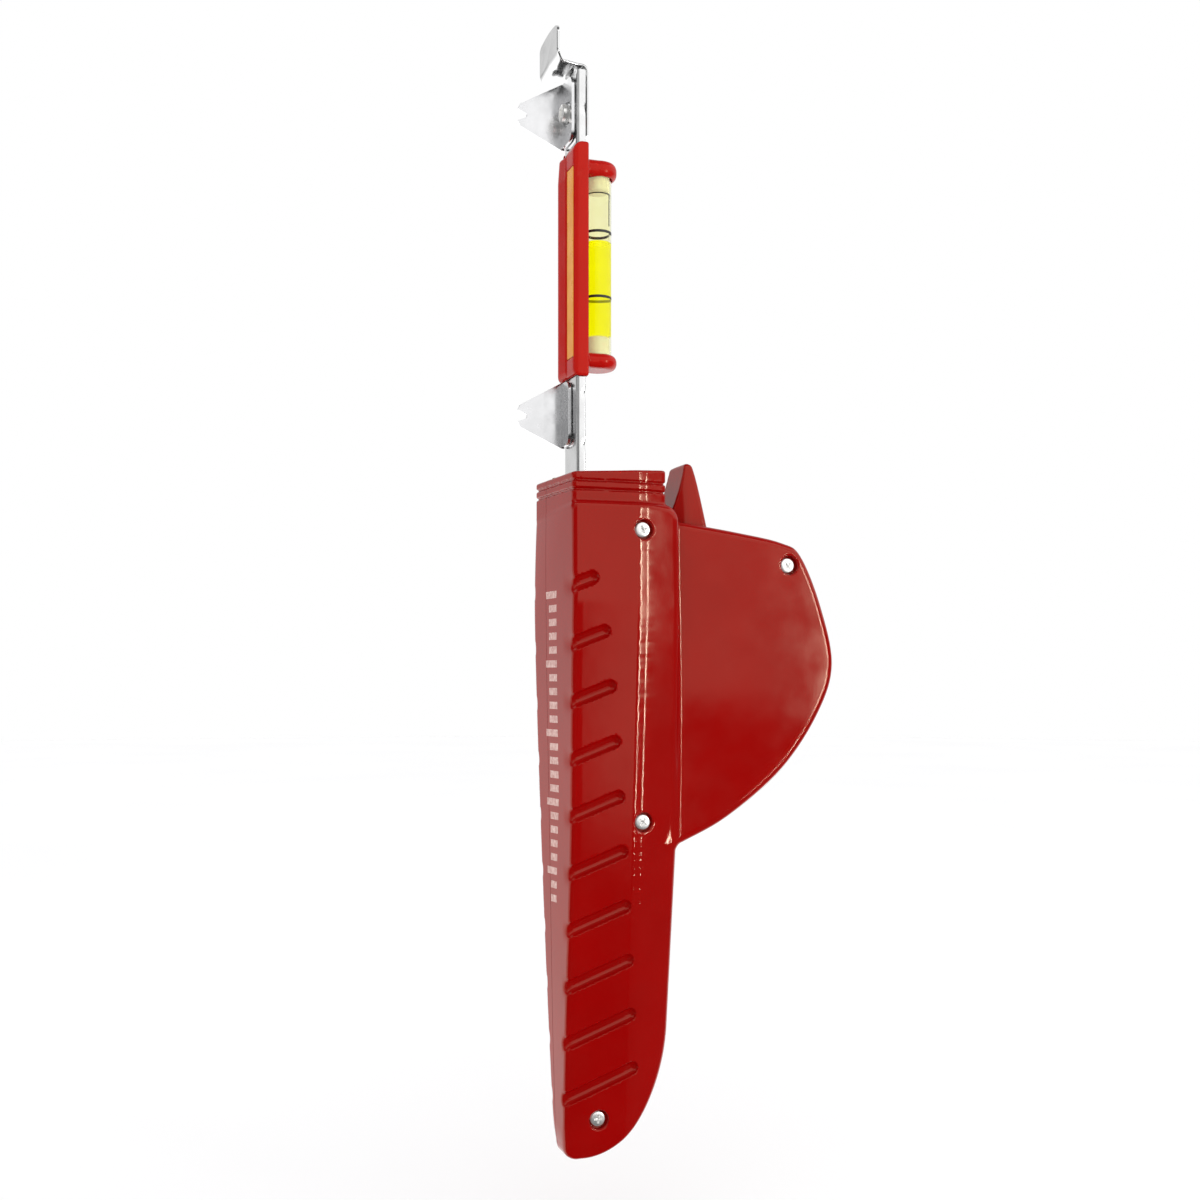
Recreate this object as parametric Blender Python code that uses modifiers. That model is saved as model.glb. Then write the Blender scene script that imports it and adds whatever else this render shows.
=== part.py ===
"""Chalk line reel of the bow type: a two-shell grip with a line reel in its back, a steel
channel arm with two notched line guides, a bubble level in a saddle, and a hook at the top.

Lengths are in millimetres until a mesh is finished, when MM turns them into metres.
Working axes: +X from the grip's front to the reel, +Y from the near shell to the far shell,
+Z up along the arm. The object's own origin is the middle of the hook's tab.
"""

import math

import bmesh
import bpy
from mathutils import Matrix, Vector

MM = 0.001
GAP = 0.3

# Grip
GRIP_HALF = 17.5
GRIP_FLARE_Z = 23.0
GRIP_TAPER = 0.0753
GRIP_BACK = 34.2
GRIP_SHOULDER_Z = 52.9
GRIP_FOOT_Z = -145.4
FRONT_BAND_X = -2.2
FRONT_LINE = ((-2.1, -10.0), (-1.7, -50.0), (-1.0, -90.0))
FOOT_FRONT_X = 0.2
NEAR_CORNER_X = -0.3
FACET_SLOPE = 0.181
FACET_LEAN = 0.0235
WALL = 2.6
SEAM_TOP = 6.2
SEAM_SLOPE = 0.0214
TOP_BLOCK_Z = 61.4
TOP_BLOCK_BACK = 29.7
TOP_BLOCK_HALF = 16.5

# Finger grooves
GROOVE_COUNT = 10
GROOVE_TOP_Z = 28.1
GROOVE_PITCH = 17.2
GROOVE_SLOPE = math.radians(21)
GROOVE_RADIUS = 2.2
GROOVE_DEPTH = 1.4

# Reel housing, spool and crank
HOUSING_HALF = 11.0
HOUSING_WALL = 2.2
REEL_X = 58.5
REEL_Z = 5.0
SPOOL_RADIUS = 24.0
LINE_RADIUS = 19.0
HUB_RADIUS = 8.0
AXLE_RADIUS = 3.0
RATCHET_TEETH = 24
RATCHET_RADIUS = 14.0
CRANK_REACH = 18.0

# Case screws: (x, z, height of the head's seat under the near face)
SCREWS = ((21.6, 44.9), (23.5, -43.0), (11.5, -133.5), (73.0, 36.1))
SCREW_HEAD = 2.5
SCREW_SHANK = 1.2
COUNTERBORE = 3.0
COUNTERBORE_DEPTH = 2.7

# Where the line leaves the case's top (x, y), and the filler plug
EYELET = (1.4, 3.4)
PLUG_X = 45.0
PLUG_Z = -32.0

# Thumb lever
LEVER_X = 40.2
LEVER_Z = 38.0
LEVER_HALF = 8.0

# Arm and what it carries
ARM_FRONT = 4.1
ARM_BACK = 7.0
ARM_HALF = 6.15
ARM_WALL = 1.0
ARM_FOOT_Z = 22.0
ARM_TOP_Z = 184.2
GUIDE_TIPS_Z = (172.6, 80.7)
GUIDE_TIP_X = -11.1
ANCHOR_Z = 172.6
SADDLE_LOW_Z = 92.0
SADDLE_HIGH_Z = 162.5
EAR_RADIUS = 5.8
VIAL_X = 12.9
VIAL_RADIUS = 4.25
HOOK_HALF = 9.0
HOOK_TAB_FRONT = -2.9
HOOK_TAB_Z = 190.5

PLANES = {
    "XZ": Matrix(((1, 0, 0), (0, 0, -1), (0, 1, 0))).to_4x4(),
    "YZ": Matrix(((0, 0, 1), (1, 0, 0), (0, 1, 0))).to_4x4(),
    "XY": Matrix.Identity(4),
}
TURN_TO_Y = Matrix.Rotation(math.radians(-90), 4, "X")
TURN_TO_X = Matrix.Rotation(math.radians(90), 4, "Y")


def move(x, y, z):
    return Matrix.Translation((x, y, z))


def grip_half(z):
    """Half thickness of the grip at a height."""
    return GRIP_HALF - GRIP_TAPER * max(0.0, GRIP_FLARE_Z - z)


def seam(z):
    """Y of the joint between the two shells at a height."""
    return SEAM_TOP - SEAM_SLOPE * (TOP_BLOCK_Z - z)


def arc(centre, radii, start, end, count):
    """Points along an elliptical arc, angles in degrees."""
    points = []
    for step in range(count + 1):
        angle = math.radians(start + (end - start) * step / count)
        points.append((centre[0] + radii[0] * math.cos(angle), centre[1] + radii[1] * math.sin(angle)))
    return points


def smooth_line(points, steps):
    """Catmull-Rom curve through open points."""
    knots = [Vector(p) for p in points]
    knots = [2 * knots[0] - knots[1]] + knots + [2 * knots[-1] - knots[-2]]
    curve = []
    for index in range(1, len(knots) - 2):
        before, start, end, after = knots[index - 1:index + 3]
        for step in range(steps):
            t = step / steps
            curve.append(0.5 * (2 * start + (end - before) * t
                                + (2 * before - 5 * start + 4 * end - after) * t ** 2
                                + (3 * start - before - 3 * end + after) * t ** 3))
    curve.append(knots[-2])
    return [tuple(point) for point in curve]


def inset(outline, distance):
    """The outline moved inwards by a distance; the outline runs clockwise or the other way."""
    area = sum(a[0] * b[1] - b[0] * a[1] for a, b in zip(outline, outline[1:] + outline[:1]))
    side = 1 if area > 0 else -1
    moved = []
    for index, point in enumerate(outline):
        before = Vector(point) - Vector(outline[index - 1])
        after = Vector(outline[(index + 1) % len(outline)]) - Vector(point)
        before.normalize()
        after.normalize()
        normal = Vector((-before.y, before.x)) + Vector((-after.y, after.x))
        normal.normalize()
        spread = max(0.4, normal.dot(Vector((-after.y, after.x))))
        moved.append(tuple(Vector(point) + normal * (side * distance / spread)))
    return moved


def evaluated_mesh(thing):
    """The mesh an object has after its modifiers; the object is removed."""
    bpy.context.scene.collection.objects.link(thing)
    bpy.context.view_layer.update()
    mesh = bpy.data.meshes.new_from_object(thing.evaluated_get(bpy.context.evaluated_depsgraph_get()))
    bpy.data.objects.remove(thing)
    return mesh


def outline(points, plane, low, high):
    """A flat outline given thickness, from low to high along the plane's normal axis."""
    curve = bpy.data.curves.new("outline", "CURVE")
    curve.dimensions = "2D"
    curve.fill_mode = "BOTH"
    curve.extrude = (high - low) / 2
    spline = curve.splines.new("POLY")
    spline.points.add(len(points) - 1)
    for point, place in zip(spline.points, points):
        point.co = (place[0], place[1], 0, 1)
    spline.use_cyclic_u = True
    mesh = evaluated_mesh(bpy.data.objects.new("outline", curve))
    middle = (low + high) / 2
    shift = {"XZ": move(0, middle, 0), "YZ": move(middle, 0, 0), "XY": move(0, 0, middle)}[plane]
    bm = bmesh.new()
    bm.from_mesh(mesh)
    bmesh.ops.remove_doubles(bm, verts=bm.verts, dist=0.001)
    bmesh.ops.transform(bm, matrix=shift @ PLANES[plane], verts=bm.verts)
    bmesh.ops.recalc_face_normals(bm, faces=bm.faces)
    return bm


def turned(profile, segments, closed=False):
    """A profile of (radius, height) points spun about +Z; it runs down its outer side."""
    mesh = bpy.data.meshes.new("profile")
    edges = [(index, index + 1) for index in range(len(profile) - 1)]
    if closed:
        edges.append((len(profile) - 1, 0))
    mesh.from_pydata([(radius, 0, height) for radius, height in profile], edges, [])
    thing = bpy.data.objects.new("profile", mesh)
    screw = thing.modifiers.new("Screw", "SCREW")
    screw.steps = segments
    screw.render_steps = segments
    screw.use_merge_vertices = True
    screw.merge_threshold = 0.0001
    bm = bmesh.new()
    bm.from_mesh(evaluated_mesh(thing))
    return bm


def ring(inner, outer, low, high, segments):
    """A plain tube about +Z."""
    return turned([(outer, high), (outer, low), (inner, low), (inner, high)], segments, closed=True)


def box(low, high):
    bm = bmesh.new()
    bmesh.ops.create_cube(bm, size=1)
    size = [b - a for a, b in zip(low, high)]
    middle = [(a + b) / 2 for a, b in zip(low, high)]
    bmesh.ops.transform(bm, matrix=move(*middle) @ Matrix.Diagonal((*size, 1)), verts=bm.verts)
    return bm


def rod(radius, low, high, segments=20, end_radius=None):
    """A round rod about +Z from low to high."""
    bm = bmesh.new()
    top = radius if end_radius is None else end_radius
    bmesh.ops.create_cone(bm, cap_ends=True, segments=segments, radius1=radius, radius2=top,
                          depth=high - low)
    bmesh.ops.translate(bm, vec=(0, 0, (low + high) / 2), verts=bm.verts)
    return bm


def placed(bm, matrix):
    bmesh.ops.transform(bm, matrix=matrix, verts=bm.verts)
    return bm


def gathered(shapes):
    """Several separate bodies in one bmesh."""
    whole = bmesh.new()
    for shape in shapes:
        mesh = bpy.data.meshes.new("shape")
        shape.to_mesh(mesh)
        whole.from_mesh(mesh)
        bpy.data.meshes.remove(mesh)
    return whole


class Assembly:
    """The collections, the root empty and the helpers that add named pieces to them."""

    def __init__(self):
        self.parts = bpy.data.collections.new("chalk_line_reel")
        self.cutters = bpy.data.collections.new("cutters")
        for collection in (self.parts, self.cutters):
            bpy.context.scene.collection.children.link(collection)
        self.root = self.empty("datum", (-HOOK_TAB_FRONT, 0, -HOOK_TAB_Z), None)

    def empty(self, name, place, parent):
        thing = bpy.data.objects.new(name, None)
        thing.location = Vector(place) * MM
        thing.parent = parent
        self.parts.objects.link(thing)
        return thing

    def thing(self, name, bm, parent, collection):
        mesh = bpy.data.meshes.new(name)
        bmesh.ops.scale(bm, vec=(MM, MM, MM), verts=bm.verts)
        bm.to_mesh(mesh)
        bm.free()
        thing = bpy.data.objects.new(name, mesh)
        thing.parent = parent
        collection.objects.link(thing)
        return thing

    def piece(self, name, bm, look, parent=None):
        thing = self.thing(name, bm, parent or self.root, self.parts)
        thing.data.materials.append(look)
        thing.data.shade_smooth()
        thing.data.set_sharp_from_angle(angle=math.radians(35))
        return thing

    def cutter(self, name, bm, parent=None):
        thing = self.thing(name, bm, parent or self.root, self.cutters)
        thing.hide_render = True
        thing.display_type = "WIRE"
        return thing


def combine(target, operation, tool):
    modifier = target.modifiers.new(f"{operation.title()} {tool.name}", "BOOLEAN")
    modifier.operation = operation
    modifier.object = tool


def bevel(target, width, segments=2, angle=40):
    modifier = target.modifiers.new("Bevel", "BEVEL")
    modifier.width = width * MM
    modifier.segments = segments
    modifier.limit_method = "ANGLE"
    modifier.angle_limit = math.radians(angle)


def material(name, colour, roughness, metallic=0.0, alpha=1.0):
    look = bpy.data.materials.new(name)
    look.use_nodes = True
    shader = look.node_tree.nodes["Principled BSDF"]
    shader.inputs["Base Color"].default_value = (*colour, 1)
    shader.inputs["Roughness"].default_value = roughness
    shader.inputs["Metallic"].default_value = metallic
    shader.inputs["Alpha"].default_value = alpha
    look.diffuse_color = (*colour, alpha)
    return look


def looks():
    return {
        "case": material("case", (0.30, 0.004, 0.004), 0.22),
        "steel": material("steel", (0.62, 0.62, 0.60), 0.28, 1.0),
        "screw": material("screw", (0.55, 0.55, 0.54), 0.3, 1.0),
        "saddle": material("saddle", (0.50, 0.03, 0.015), 0.35),
        "vial": material("vial", (0.85, 0.88, 0.75), 0.05, alpha=0.4),
        "liquid": material("liquid", (0.85, 0.90, 0.02), 0.1, alpha=0.9),
        "plug": material("plug", (0.85, 0.83, 0.74), 0.4),
        "amber": material("amber", (0.75, 0.42, 0.09), 0.3),
        "black": material("black", (0.03, 0.03, 0.03), 0.5),
        "spool": material("spool", (0.05, 0.05, 0.055), 0.4),
        "brass": material("brass", (0.60, 0.42, 0.15), 0.3, 1.0),
        "line": material("line", (0.80, 0.78, 0.70), 0.9),
        "felt": material("felt", (0.45, 0.44, 0.42), 0.95),
        "sponge": material("sponge", (0.10, 0.12, 0.30), 0.95),
        "rubber": material("rubber", (0.02, 0.02, 0.02), 0.8),
    }


# --- The two shells ---

def grip_outline():
    """Side view of the grip below its shoulder: the front leans back a little towards the rounded foot."""
    foot = arc((7.0, -105.0), (26.9, -GRIP_FOOT_Z - 105.0), 0, -90, 7)
    toe = arc((FOOT_FRONT_X + 3.5, GRIP_FOOT_Z + 4.0), (3.5, 3.5), -100, -180, 3)
    back = [(TOP_BLOCK_BACK, GRIP_SHOULDER_Z), (33.0, 51.4), (GRIP_BACK, 47.6), (35.8, -50.0)]
    front = [*reversed(FRONT_LINE), (FRONT_BAND_X, GRIP_FLARE_Z), (FRONT_BAND_X, GRIP_SHOULDER_Z)]
    return front + back + foot + toe


def housing_outline():
    """Side view of the reel housing: a lopsided egg running into the grip's back."""
    egg = smooth_line([(36.9, 48.4), (55.7, 45.9), (70.8, 43.2), (77.5, 39.2), (84.5, 23.9),
                       (88.8, 5.2), (83.9, -10.5), (71.4, -28.0), (52.6, -42.7), (35.1, -51.2)], 2)
    return [(26.0, 48.4)] + egg + [(26.0, -51.2)]


def front_outline(shrink=0.0):
    """Front view: full width at the top, tapering to the foot."""
    right = [(grip_half(z) - shrink, z) for z in (GRIP_SHOULDER_Z + 0.01, GRIP_FLARE_Z, GRIP_FOOT_Z - 2)]
    left = [(-y, z) for y, z in reversed(right)]
    return right + left


def facet_block():
    """A block whose front is the facet beside the near flank: it falls back, and leans back going down."""
    reach = 2 * GRIP_HALF + 2.0
    plan = [(NEAR_CORNER_X - FACET_SLOPE * reach, reach - GRIP_HALF), (NEAR_CORNER_X, -GRIP_HALF),
            (40.0, -GRIP_HALF), (40.0, reach - GRIP_HALF)]
    bm = outline(plan, "XY", -160, 80)
    for vert in bm.verts:
        vert.co.x += FACET_LEAN * (GRIP_FLARE_Z - vert.co.z)
    return bm


def groove_cutter(assembly):
    """Finger grooves on both flanks: round-ended rods laid in the tapering faces."""
    shapes = []
    for index in range(GROOVE_COUNT):
        z = GROOVE_TOP_Z - GROOVE_PITCH * index
        reach = 7.4 + 16.5 * (index / (GROOVE_COUNT - 1)) ** 0.75
        length = (reach + 6.0) / math.cos(GROOVE_SLOPE)
        profile = [(0.0, length)]
        profile += [(GROOVE_RADIUS * math.sin(math.radians(a)),
                     length - GROOVE_RADIUS + GROOVE_RADIUS * math.cos(math.radians(a))) for a in (45, 90)]
        profile += [(GROOVE_RADIUS, 0.0), (0.0, 0.0)]
        lean = math.atan(GRIP_TAPER) if z < GRIP_FLARE_Z else 0.0
        for side in (-1, 1):
            start = move(-6.0, side * (grip_half(z) + GROOVE_RADIUS - GROOVE_DEPTH),
                         z - 6.0 * math.tan(GROOVE_SLOPE))
            tilt = Matrix.Rotation(side * -lean, 4, "X")
            point = Matrix.Rotation(math.radians(90) - GROOVE_SLOPE, 4, "Y")
            shapes.append(placed(turned(profile, 10), start @ tilt @ point))
    return assembly.cutter("finger_grooves", gathered(shapes))


def boss_rod(x, z, radius, low, high, segments=16):
    """A rod along Y, as the shells' bosses and their holes are."""
    return placed(rod(radius, low, high, segments), move(x, 0, z) @ TURN_TO_Y)


def stepped_hole(x, z, steps, segments=16):
    """A stepped rod along Y; each step is (radius, low, high), from the lowest up."""
    profile = [(0, steps[-1][2])]
    for radius, low, high in reversed(steps):
        profile += [(radius, high), (radius, low)]
    return placed(turned(profile + [(0, steps[0][1])], segments), move(x, 0, z) @ TURN_TO_Y)


def near_face(x, z):
    """Half thickness of the shell where a screw stands."""
    return HOUSING_HALF if x > GRIP_BACK else grip_half(z)


def shell_tools(assembly):
    """The solids both shells are cut from and with."""
    tools = {
        "front": assembly.cutter("front_view", outline(front_outline(), "YZ", -20, 60)),
        "facet": assembly.cutter("near_facet", facet_block()),
        "housing": assembly.cutter("housing_form", outline(housing_outline(), "XZ", -HOUSING_HALF, HOUSING_HALF)),
        "block": assembly.cutter("block_form", outline(
            [(FRONT_BAND_X, 50.0), (FRONT_BAND_X, TOP_BLOCK_Z), (TOP_BLOCK_BACK, TOP_BLOCK_Z + 1.8),
             (TOP_BLOCK_BACK, 50.0)], "XZ", -TOP_BLOCK_HALF, TOP_BLOCK_HALF)),
        "grip_core": assembly.cutter("grip_core", outline(inset(grip_outline(), WALL), "XZ", -30, 30)),
        "core_front": assembly.cutter("core_front", outline(front_outline(shrink=WALL), "YZ", -20, 60)),
        "block_core": assembly.cutter("block_core", box((0.8, -13.5, 45.0), (27.0, 13.5, 58.6))),
        "housing_core": assembly.cutter("housing_core", outline(
            inset(housing_outline(), HOUSING_WALL), "XZ", HOUSING_WALL - HOUSING_HALF, HOUSING_HALF - HOUSING_WALL)),
        "grooves": groove_cutter(assembly),
        "rim_grooves": assembly.cutter("rim_grooves", gathered([rim_groove(56.4), rim_groove(59.1)])),
        "openings": assembly.cutter("openings", gathered([
            box((ARM_FRONT - GAP, -ARM_HALF - GAP, 40), (ARM_BACK + 1.2, ARM_HALF + GAP, 70)),
            box((33.8, -LEVER_HALF - 0.4, 40.0), (48.4, LEVER_HALF + 0.4, 60.0)),
            placed(rod(1.5, 50, 70, 12), move(*EYELET, 0)),
        ])),
    }
    bevel(tools["housing"], 3.5)
    bevel(tools["block"], 1.0, segments=1)
    combine(tools["grip_core"], "INTERSECT", tools["core_front"])
    return tools


def rim_groove(z):
    """One square groove round the front and flanks of the top block."""
    flank, face = TOP_BLOCK_HALF - 0.7, FRONT_BAND_X + 0.8
    track = [(-6, -30), (36, -30), (36, -flank), (face, -flank), (face, flank), (36, flank), (36, 30), (-6, 30)]
    return outline(track, "XY", z - 0.7, z + 0.7)


def half_space(side):
    """A block covering one side of the slanting joint between the shells."""
    top, bottom = 80.0, -160.0
    edge = [(seam(top) + side * GAP / 2, top), (seam(bottom) + side * GAP / 2, bottom)]
    return outline(edge + [(side * 40.0, bottom), (side * 40.0, top)], "YZ", -20, 100)


def near_bosses():
    shapes = []
    for x, z in SCREWS:
        shapes.append(boss_rod(x, z, 4.0, 1.0 - near_face(x, z), seam(z) - GAP / 2, 12))
    shapes.append(boss_rod(REEL_X, REEL_Z, 6.5, 1.0 - HOUSING_HALF, -8.0))
    shapes.append(boss_rod(LEVER_X, LEVER_Z, 3.2, 1.0 - HOUSING_HALF, -LEVER_HALF - GAP, 12))
    shapes.append(boss_rod(7.0, 9.0, 3.2, 1.0 - grip_half(9), -5.0, 12))
    return gathered(shapes)


def near_holes():
    shapes = []
    for x, z in SCREWS:
        face = near_face(x, z)
        seat = COUNTERBORE_DEPTH - face
        shapes.append(stepped_hole(x, z, [(COUNTERBORE, -face - 5, seat), (SCREW_SHANK + 0.4, seat, seam(z) + 2)]))
    shapes.append(boss_rod(REEL_X, REEL_Z, 5.0, -HOUSING_HALF + 1.2, -4.0))
    shapes.append(boss_rod(LEVER_X, LEVER_Z, 1.8, -HOUSING_HALF + 1.2, -4.0, 12))
    shapes.append(boss_rod(7.0, 9.0, 1.8, 1.5 - grip_half(9), 0.0, 12))
    return gathered(shapes)


def far_bosses():
    shapes = []
    for x, z in SCREWS:
        shapes.append(boss_rod(x, z, 4.0, seam(z) + GAP / 2, near_face(x, z) - 0.8, 12))
    shapes.append(boss_rod(REEL_X, REEL_Z, 7.5, 7.2, HOUSING_HALF - 1.0))
    shapes.append(boss_rod(LEVER_X, LEVER_Z, 3.2, LEVER_HALF + GAP, HOUSING_HALF - 1.0, 12))
    shapes.append(boss_rod(7.0, 9.0, 3.2, 6.0, grip_half(9) - 1.0, 12))
    return gathered(shapes)


def far_holes():
    shapes = []
    for x, z in SCREWS:
        shapes.append(boss_rod(x, z, SCREW_SHANK + 0.4, seam(z) - 3, near_face(x, z) - 1.3, 12))
    shapes.append(boss_rod(REEL_X, REEL_Z, 5.5, 3.0, HOUSING_HALF + 3))
    shapes.append(boss_rod(LEVER_X, LEVER_Z, 1.8, 4.0, HOUSING_HALF - 1.2, 12))
    shapes.append(boss_rod(7.0, 9.0, 1.8, 0.0, grip_half(9) - 1.5, 12))
    shapes.append(stepped_hole(PLUG_X, PLUG_Z, [(4.0, 5.0, HOUSING_HALF - 1.0),
                                                (5.8, HOUSING_HALF - 1.0, HOUSING_HALF + 3)], 20))
    return gathered(shapes)


def shell(assembly, tools, name, side, bosses, holes, look):
    """One shell: the outer form less the hollow, cut at the joint, with bosses and holes."""
    body = assembly.piece(name, outline(grip_outline(), "XZ", -30, 30), look)
    combine(body, "INTERSECT", tools["front"])
    combine(body, "INTERSECT", tools["facet"])
    bevel(body, 2.4, segments=2, angle=50)
    combine(body, "UNION", tools["block"])
    combine(body, "UNION", tools["housing"])
    for core in ("grip_core", "block_core", "housing_core"):
        combine(body, "DIFFERENCE", tools[core])
    combine(body, "INTERSECT", assembly.cutter(f"{name}_half", half_space(side)))
    combine(body, "UNION", assembly.cutter(f"{name}_bosses", bosses))
    combine(body, "DIFFERENCE", assembly.cutter(f"{name}_holes", holes))
    combine(body, "DIFFERENCE", tools["grooves"])
    combine(body, "DIFFERENCE", tools["rim_grooves"])
    combine(body, "DIFFERENCE", tools["openings"])
    return body


def cut_cross(assembly, screw, size, depth, matrix):
    """Cuts a cross-head recess into a screw whose head's top is the matrix's z = 0."""
    rib = size / 4
    for index, (wide, long) in enumerate(((size, rib), (rib, size))):
        bar = placed(box((-wide, -long, -depth), (wide, long, 1)), matrix)
        combine(screw, "DIFFERENCE", assembly.cutter(f"{screw.name}_slot_{index + 1}", bar))


def screw_shape(head, head_high, shank, length, segments=16):
    """A pan head above z = 0 and a shank below it, about +Z."""
    return turned([(0, head_high), (head * 0.7, head_high), (head, head_high * 0.55), (head, 0), (shank, 0),
                   (shank, -length), (0, -length)], segments)


def case_screws(assembly, look):
    for index, (x, z) in enumerate(SCREWS):
        face = near_face(x, z)
        seat = COUNTERBORE_DEPTH - GAP - face
        turn = move(x, seat, z) @ Matrix.Rotation(math.radians(90), 4, "X")
        length = face - 1.8 - seat
        screw = assembly.piece(f"case_screw_{index + 1}", placed(
            screw_shape(SCREW_HEAD, 1.7, SCREW_SHANK, length, 12), turn), look)
        cut_cross(assembly, screw, 1.5, 0.9, turn @ move(0, 0, 1.7))


# --- The arm and what it carries ---

def channel_arm(assembly, look):
    section = [(ARM_BACK, -ARM_HALF), (ARM_FRONT, -ARM_HALF), (ARM_FRONT, ARM_HALF), (ARM_BACK, ARM_HALF),
               (ARM_BACK, ARM_HALF - ARM_WALL), (ARM_FRONT + ARM_WALL, ARM_HALF - ARM_WALL),
               (ARM_FRONT + ARM_WALL, ARM_WALL - ARM_HALF), (ARM_BACK, ARM_WALL - ARM_HALF)]
    arm = assembly.piece("arm", outline(section, "XY", ARM_FOOT_Z, ARM_TOP_Z), look)
    holes = [placed(rod(1.6, 0, 12, 12), move(0, -2.0, z) @ TURN_TO_X) for z in (30.0, 46.0)]
    holes.append(placed(rod(1.8, 0, 12, 12), move(0, 0, ANCHOR_Z) @ TURN_TO_X))
    combine(arm, "DIFFERENCE", assembly.cutter("arm_holes", gathered(holes)))


def top_hook(assembly, look):
    """A strip up the arm's back, over its top and up again into a wide crowned tab."""
    back, over, thick = ARM_BACK + GAP, ARM_TOP_Z + 1.6, 0.8
    strip = [(back, 164.5), (back, over - 1.5), (back - 1.5, over), (HOOK_TAB_FRONT + 2.0, over),
             (HOOK_TAB_FRONT, over + 2.0), (HOOK_TAB_FRONT, 198.0)]
    outer = [(HOOK_TAB_FRONT + thick, 198.0), (HOOK_TAB_FRONT + thick, over + 2.0 + 0.5),
             (HOOK_TAB_FRONT + 2.4, over + thick), (back - 1.1, over + thick),
             (back + thick, over - 1.0), (back + thick, 164.5)]
    hook = assembly.piece("top_hook", outline(strip + outer, "XZ", -HOOK_HALF, HOOK_HALF), look)
    crown = arc((0, 164.8), (31.5, 31.5), 107, 73, 6)
    shape = [(-5.9, 160.0), (5.9, 160.0), (5.9, over + 0.6), (7.0, over + 0.9), (HOOK_HALF, over + 2.8)]
    shape += list(reversed(crown)) + [(-HOOK_HALF, over + 2.8), (-7.0, over + 0.9), (-5.9, over + 0.6)]
    combine(hook, "INTERSECT", assembly.cutter("hook_front_view", outline(shape, "YZ", -10, 20)))
    hole = placed(rod(1.8, 0, 12, 12), move(0, 0, ANCHOR_Z) @ TURN_TO_X)
    combine(hook, "DIFFERENCE", assembly.cutter("hook_hole", hole))


def line_guide(assembly, name, tip_z, look):
    """An angle bracket: a flange on the arm's front and a blade standing forward, notched."""
    face, thick = ARM_FRONT - GAP, 0.9
    low, high = tip_z - 9.4, tip_z + 10.9
    blade = [(face, low), (face, high), (face - 0.9, high), (GUIDE_TIP_X + 0.8, tip_z + 3.4),
             (GUIDE_TIP_X, tip_z + 1.9), (GUIDE_TIP_X + 3.1, tip_z + 1.1), (GUIDE_TIP_X + 3.1, tip_z - 1.1),
             (GUIDE_TIP_X, tip_z - 1.9), (GUIDE_TIP_X + 0.8, tip_z - 3.4), (face - 0.9, low)]
    guide = assembly.piece(name, outline(blade, "XZ", ARM_HALF - 0.2 - thick, ARM_HALF - 0.2), look)
    far, near = ARM_HALF - 0.3, -1.6
    shape = [(far, low + 0.4), (far, high - 0.4), (near + 2.0, high - 0.4), (near, high - 2.4),
             (near, low + 2.4), (near + 2.0, low + 0.4)]
    flange = assembly.cutter(f"{name}_flange", outline(shape, "YZ", face - thick, face))
    combine(guide, "UNION", flange)
    if tip_z > ANCHOR_Z - 10 and tip_z < ANCHOR_Z + 10:
        relief = placed(rod(3.9, -6, 12, 16), move(0, 0, ANCHOR_Z) @ TURN_TO_X)
        combine(guide, "DIFFERENCE", assembly.cutter(f"{name}_relief", relief))


def line_anchor(assembly, look):
    """The screw the line's end is tied to, through the hook's strip, with its nut in the channel."""
    back = Matrix.Rotation(math.radians(-90), 4, "Y")
    washer = placed(ring(1.7, 3.5, GAP, GAP + 0.7, 20), move(ARM_FRONT, 0, ANCHOR_Z) @ back)
    assembly.piece("anchor_washer", washer, look)
    screw = screw_shape(2.9, 2.0, 1.4, 4.5)
    seat = move(ARM_FRONT - 2 * GAP - 0.7, 0, ANCHOR_Z) @ back
    anchor = assembly.piece("anchor_screw", placed(screw, seat), look)
    cut_cross(assembly, anchor, 1.8, 0.8, seat @ move(0, 0, 2.0))
    nut = ring(1.7, 3.0, -1.6, 0, 6)
    assembly.piece("anchor_nut", placed(nut, move(ARM_FRONT + ARM_WALL + GAP, 0, ANCHOR_Z) @ back), look)


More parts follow.
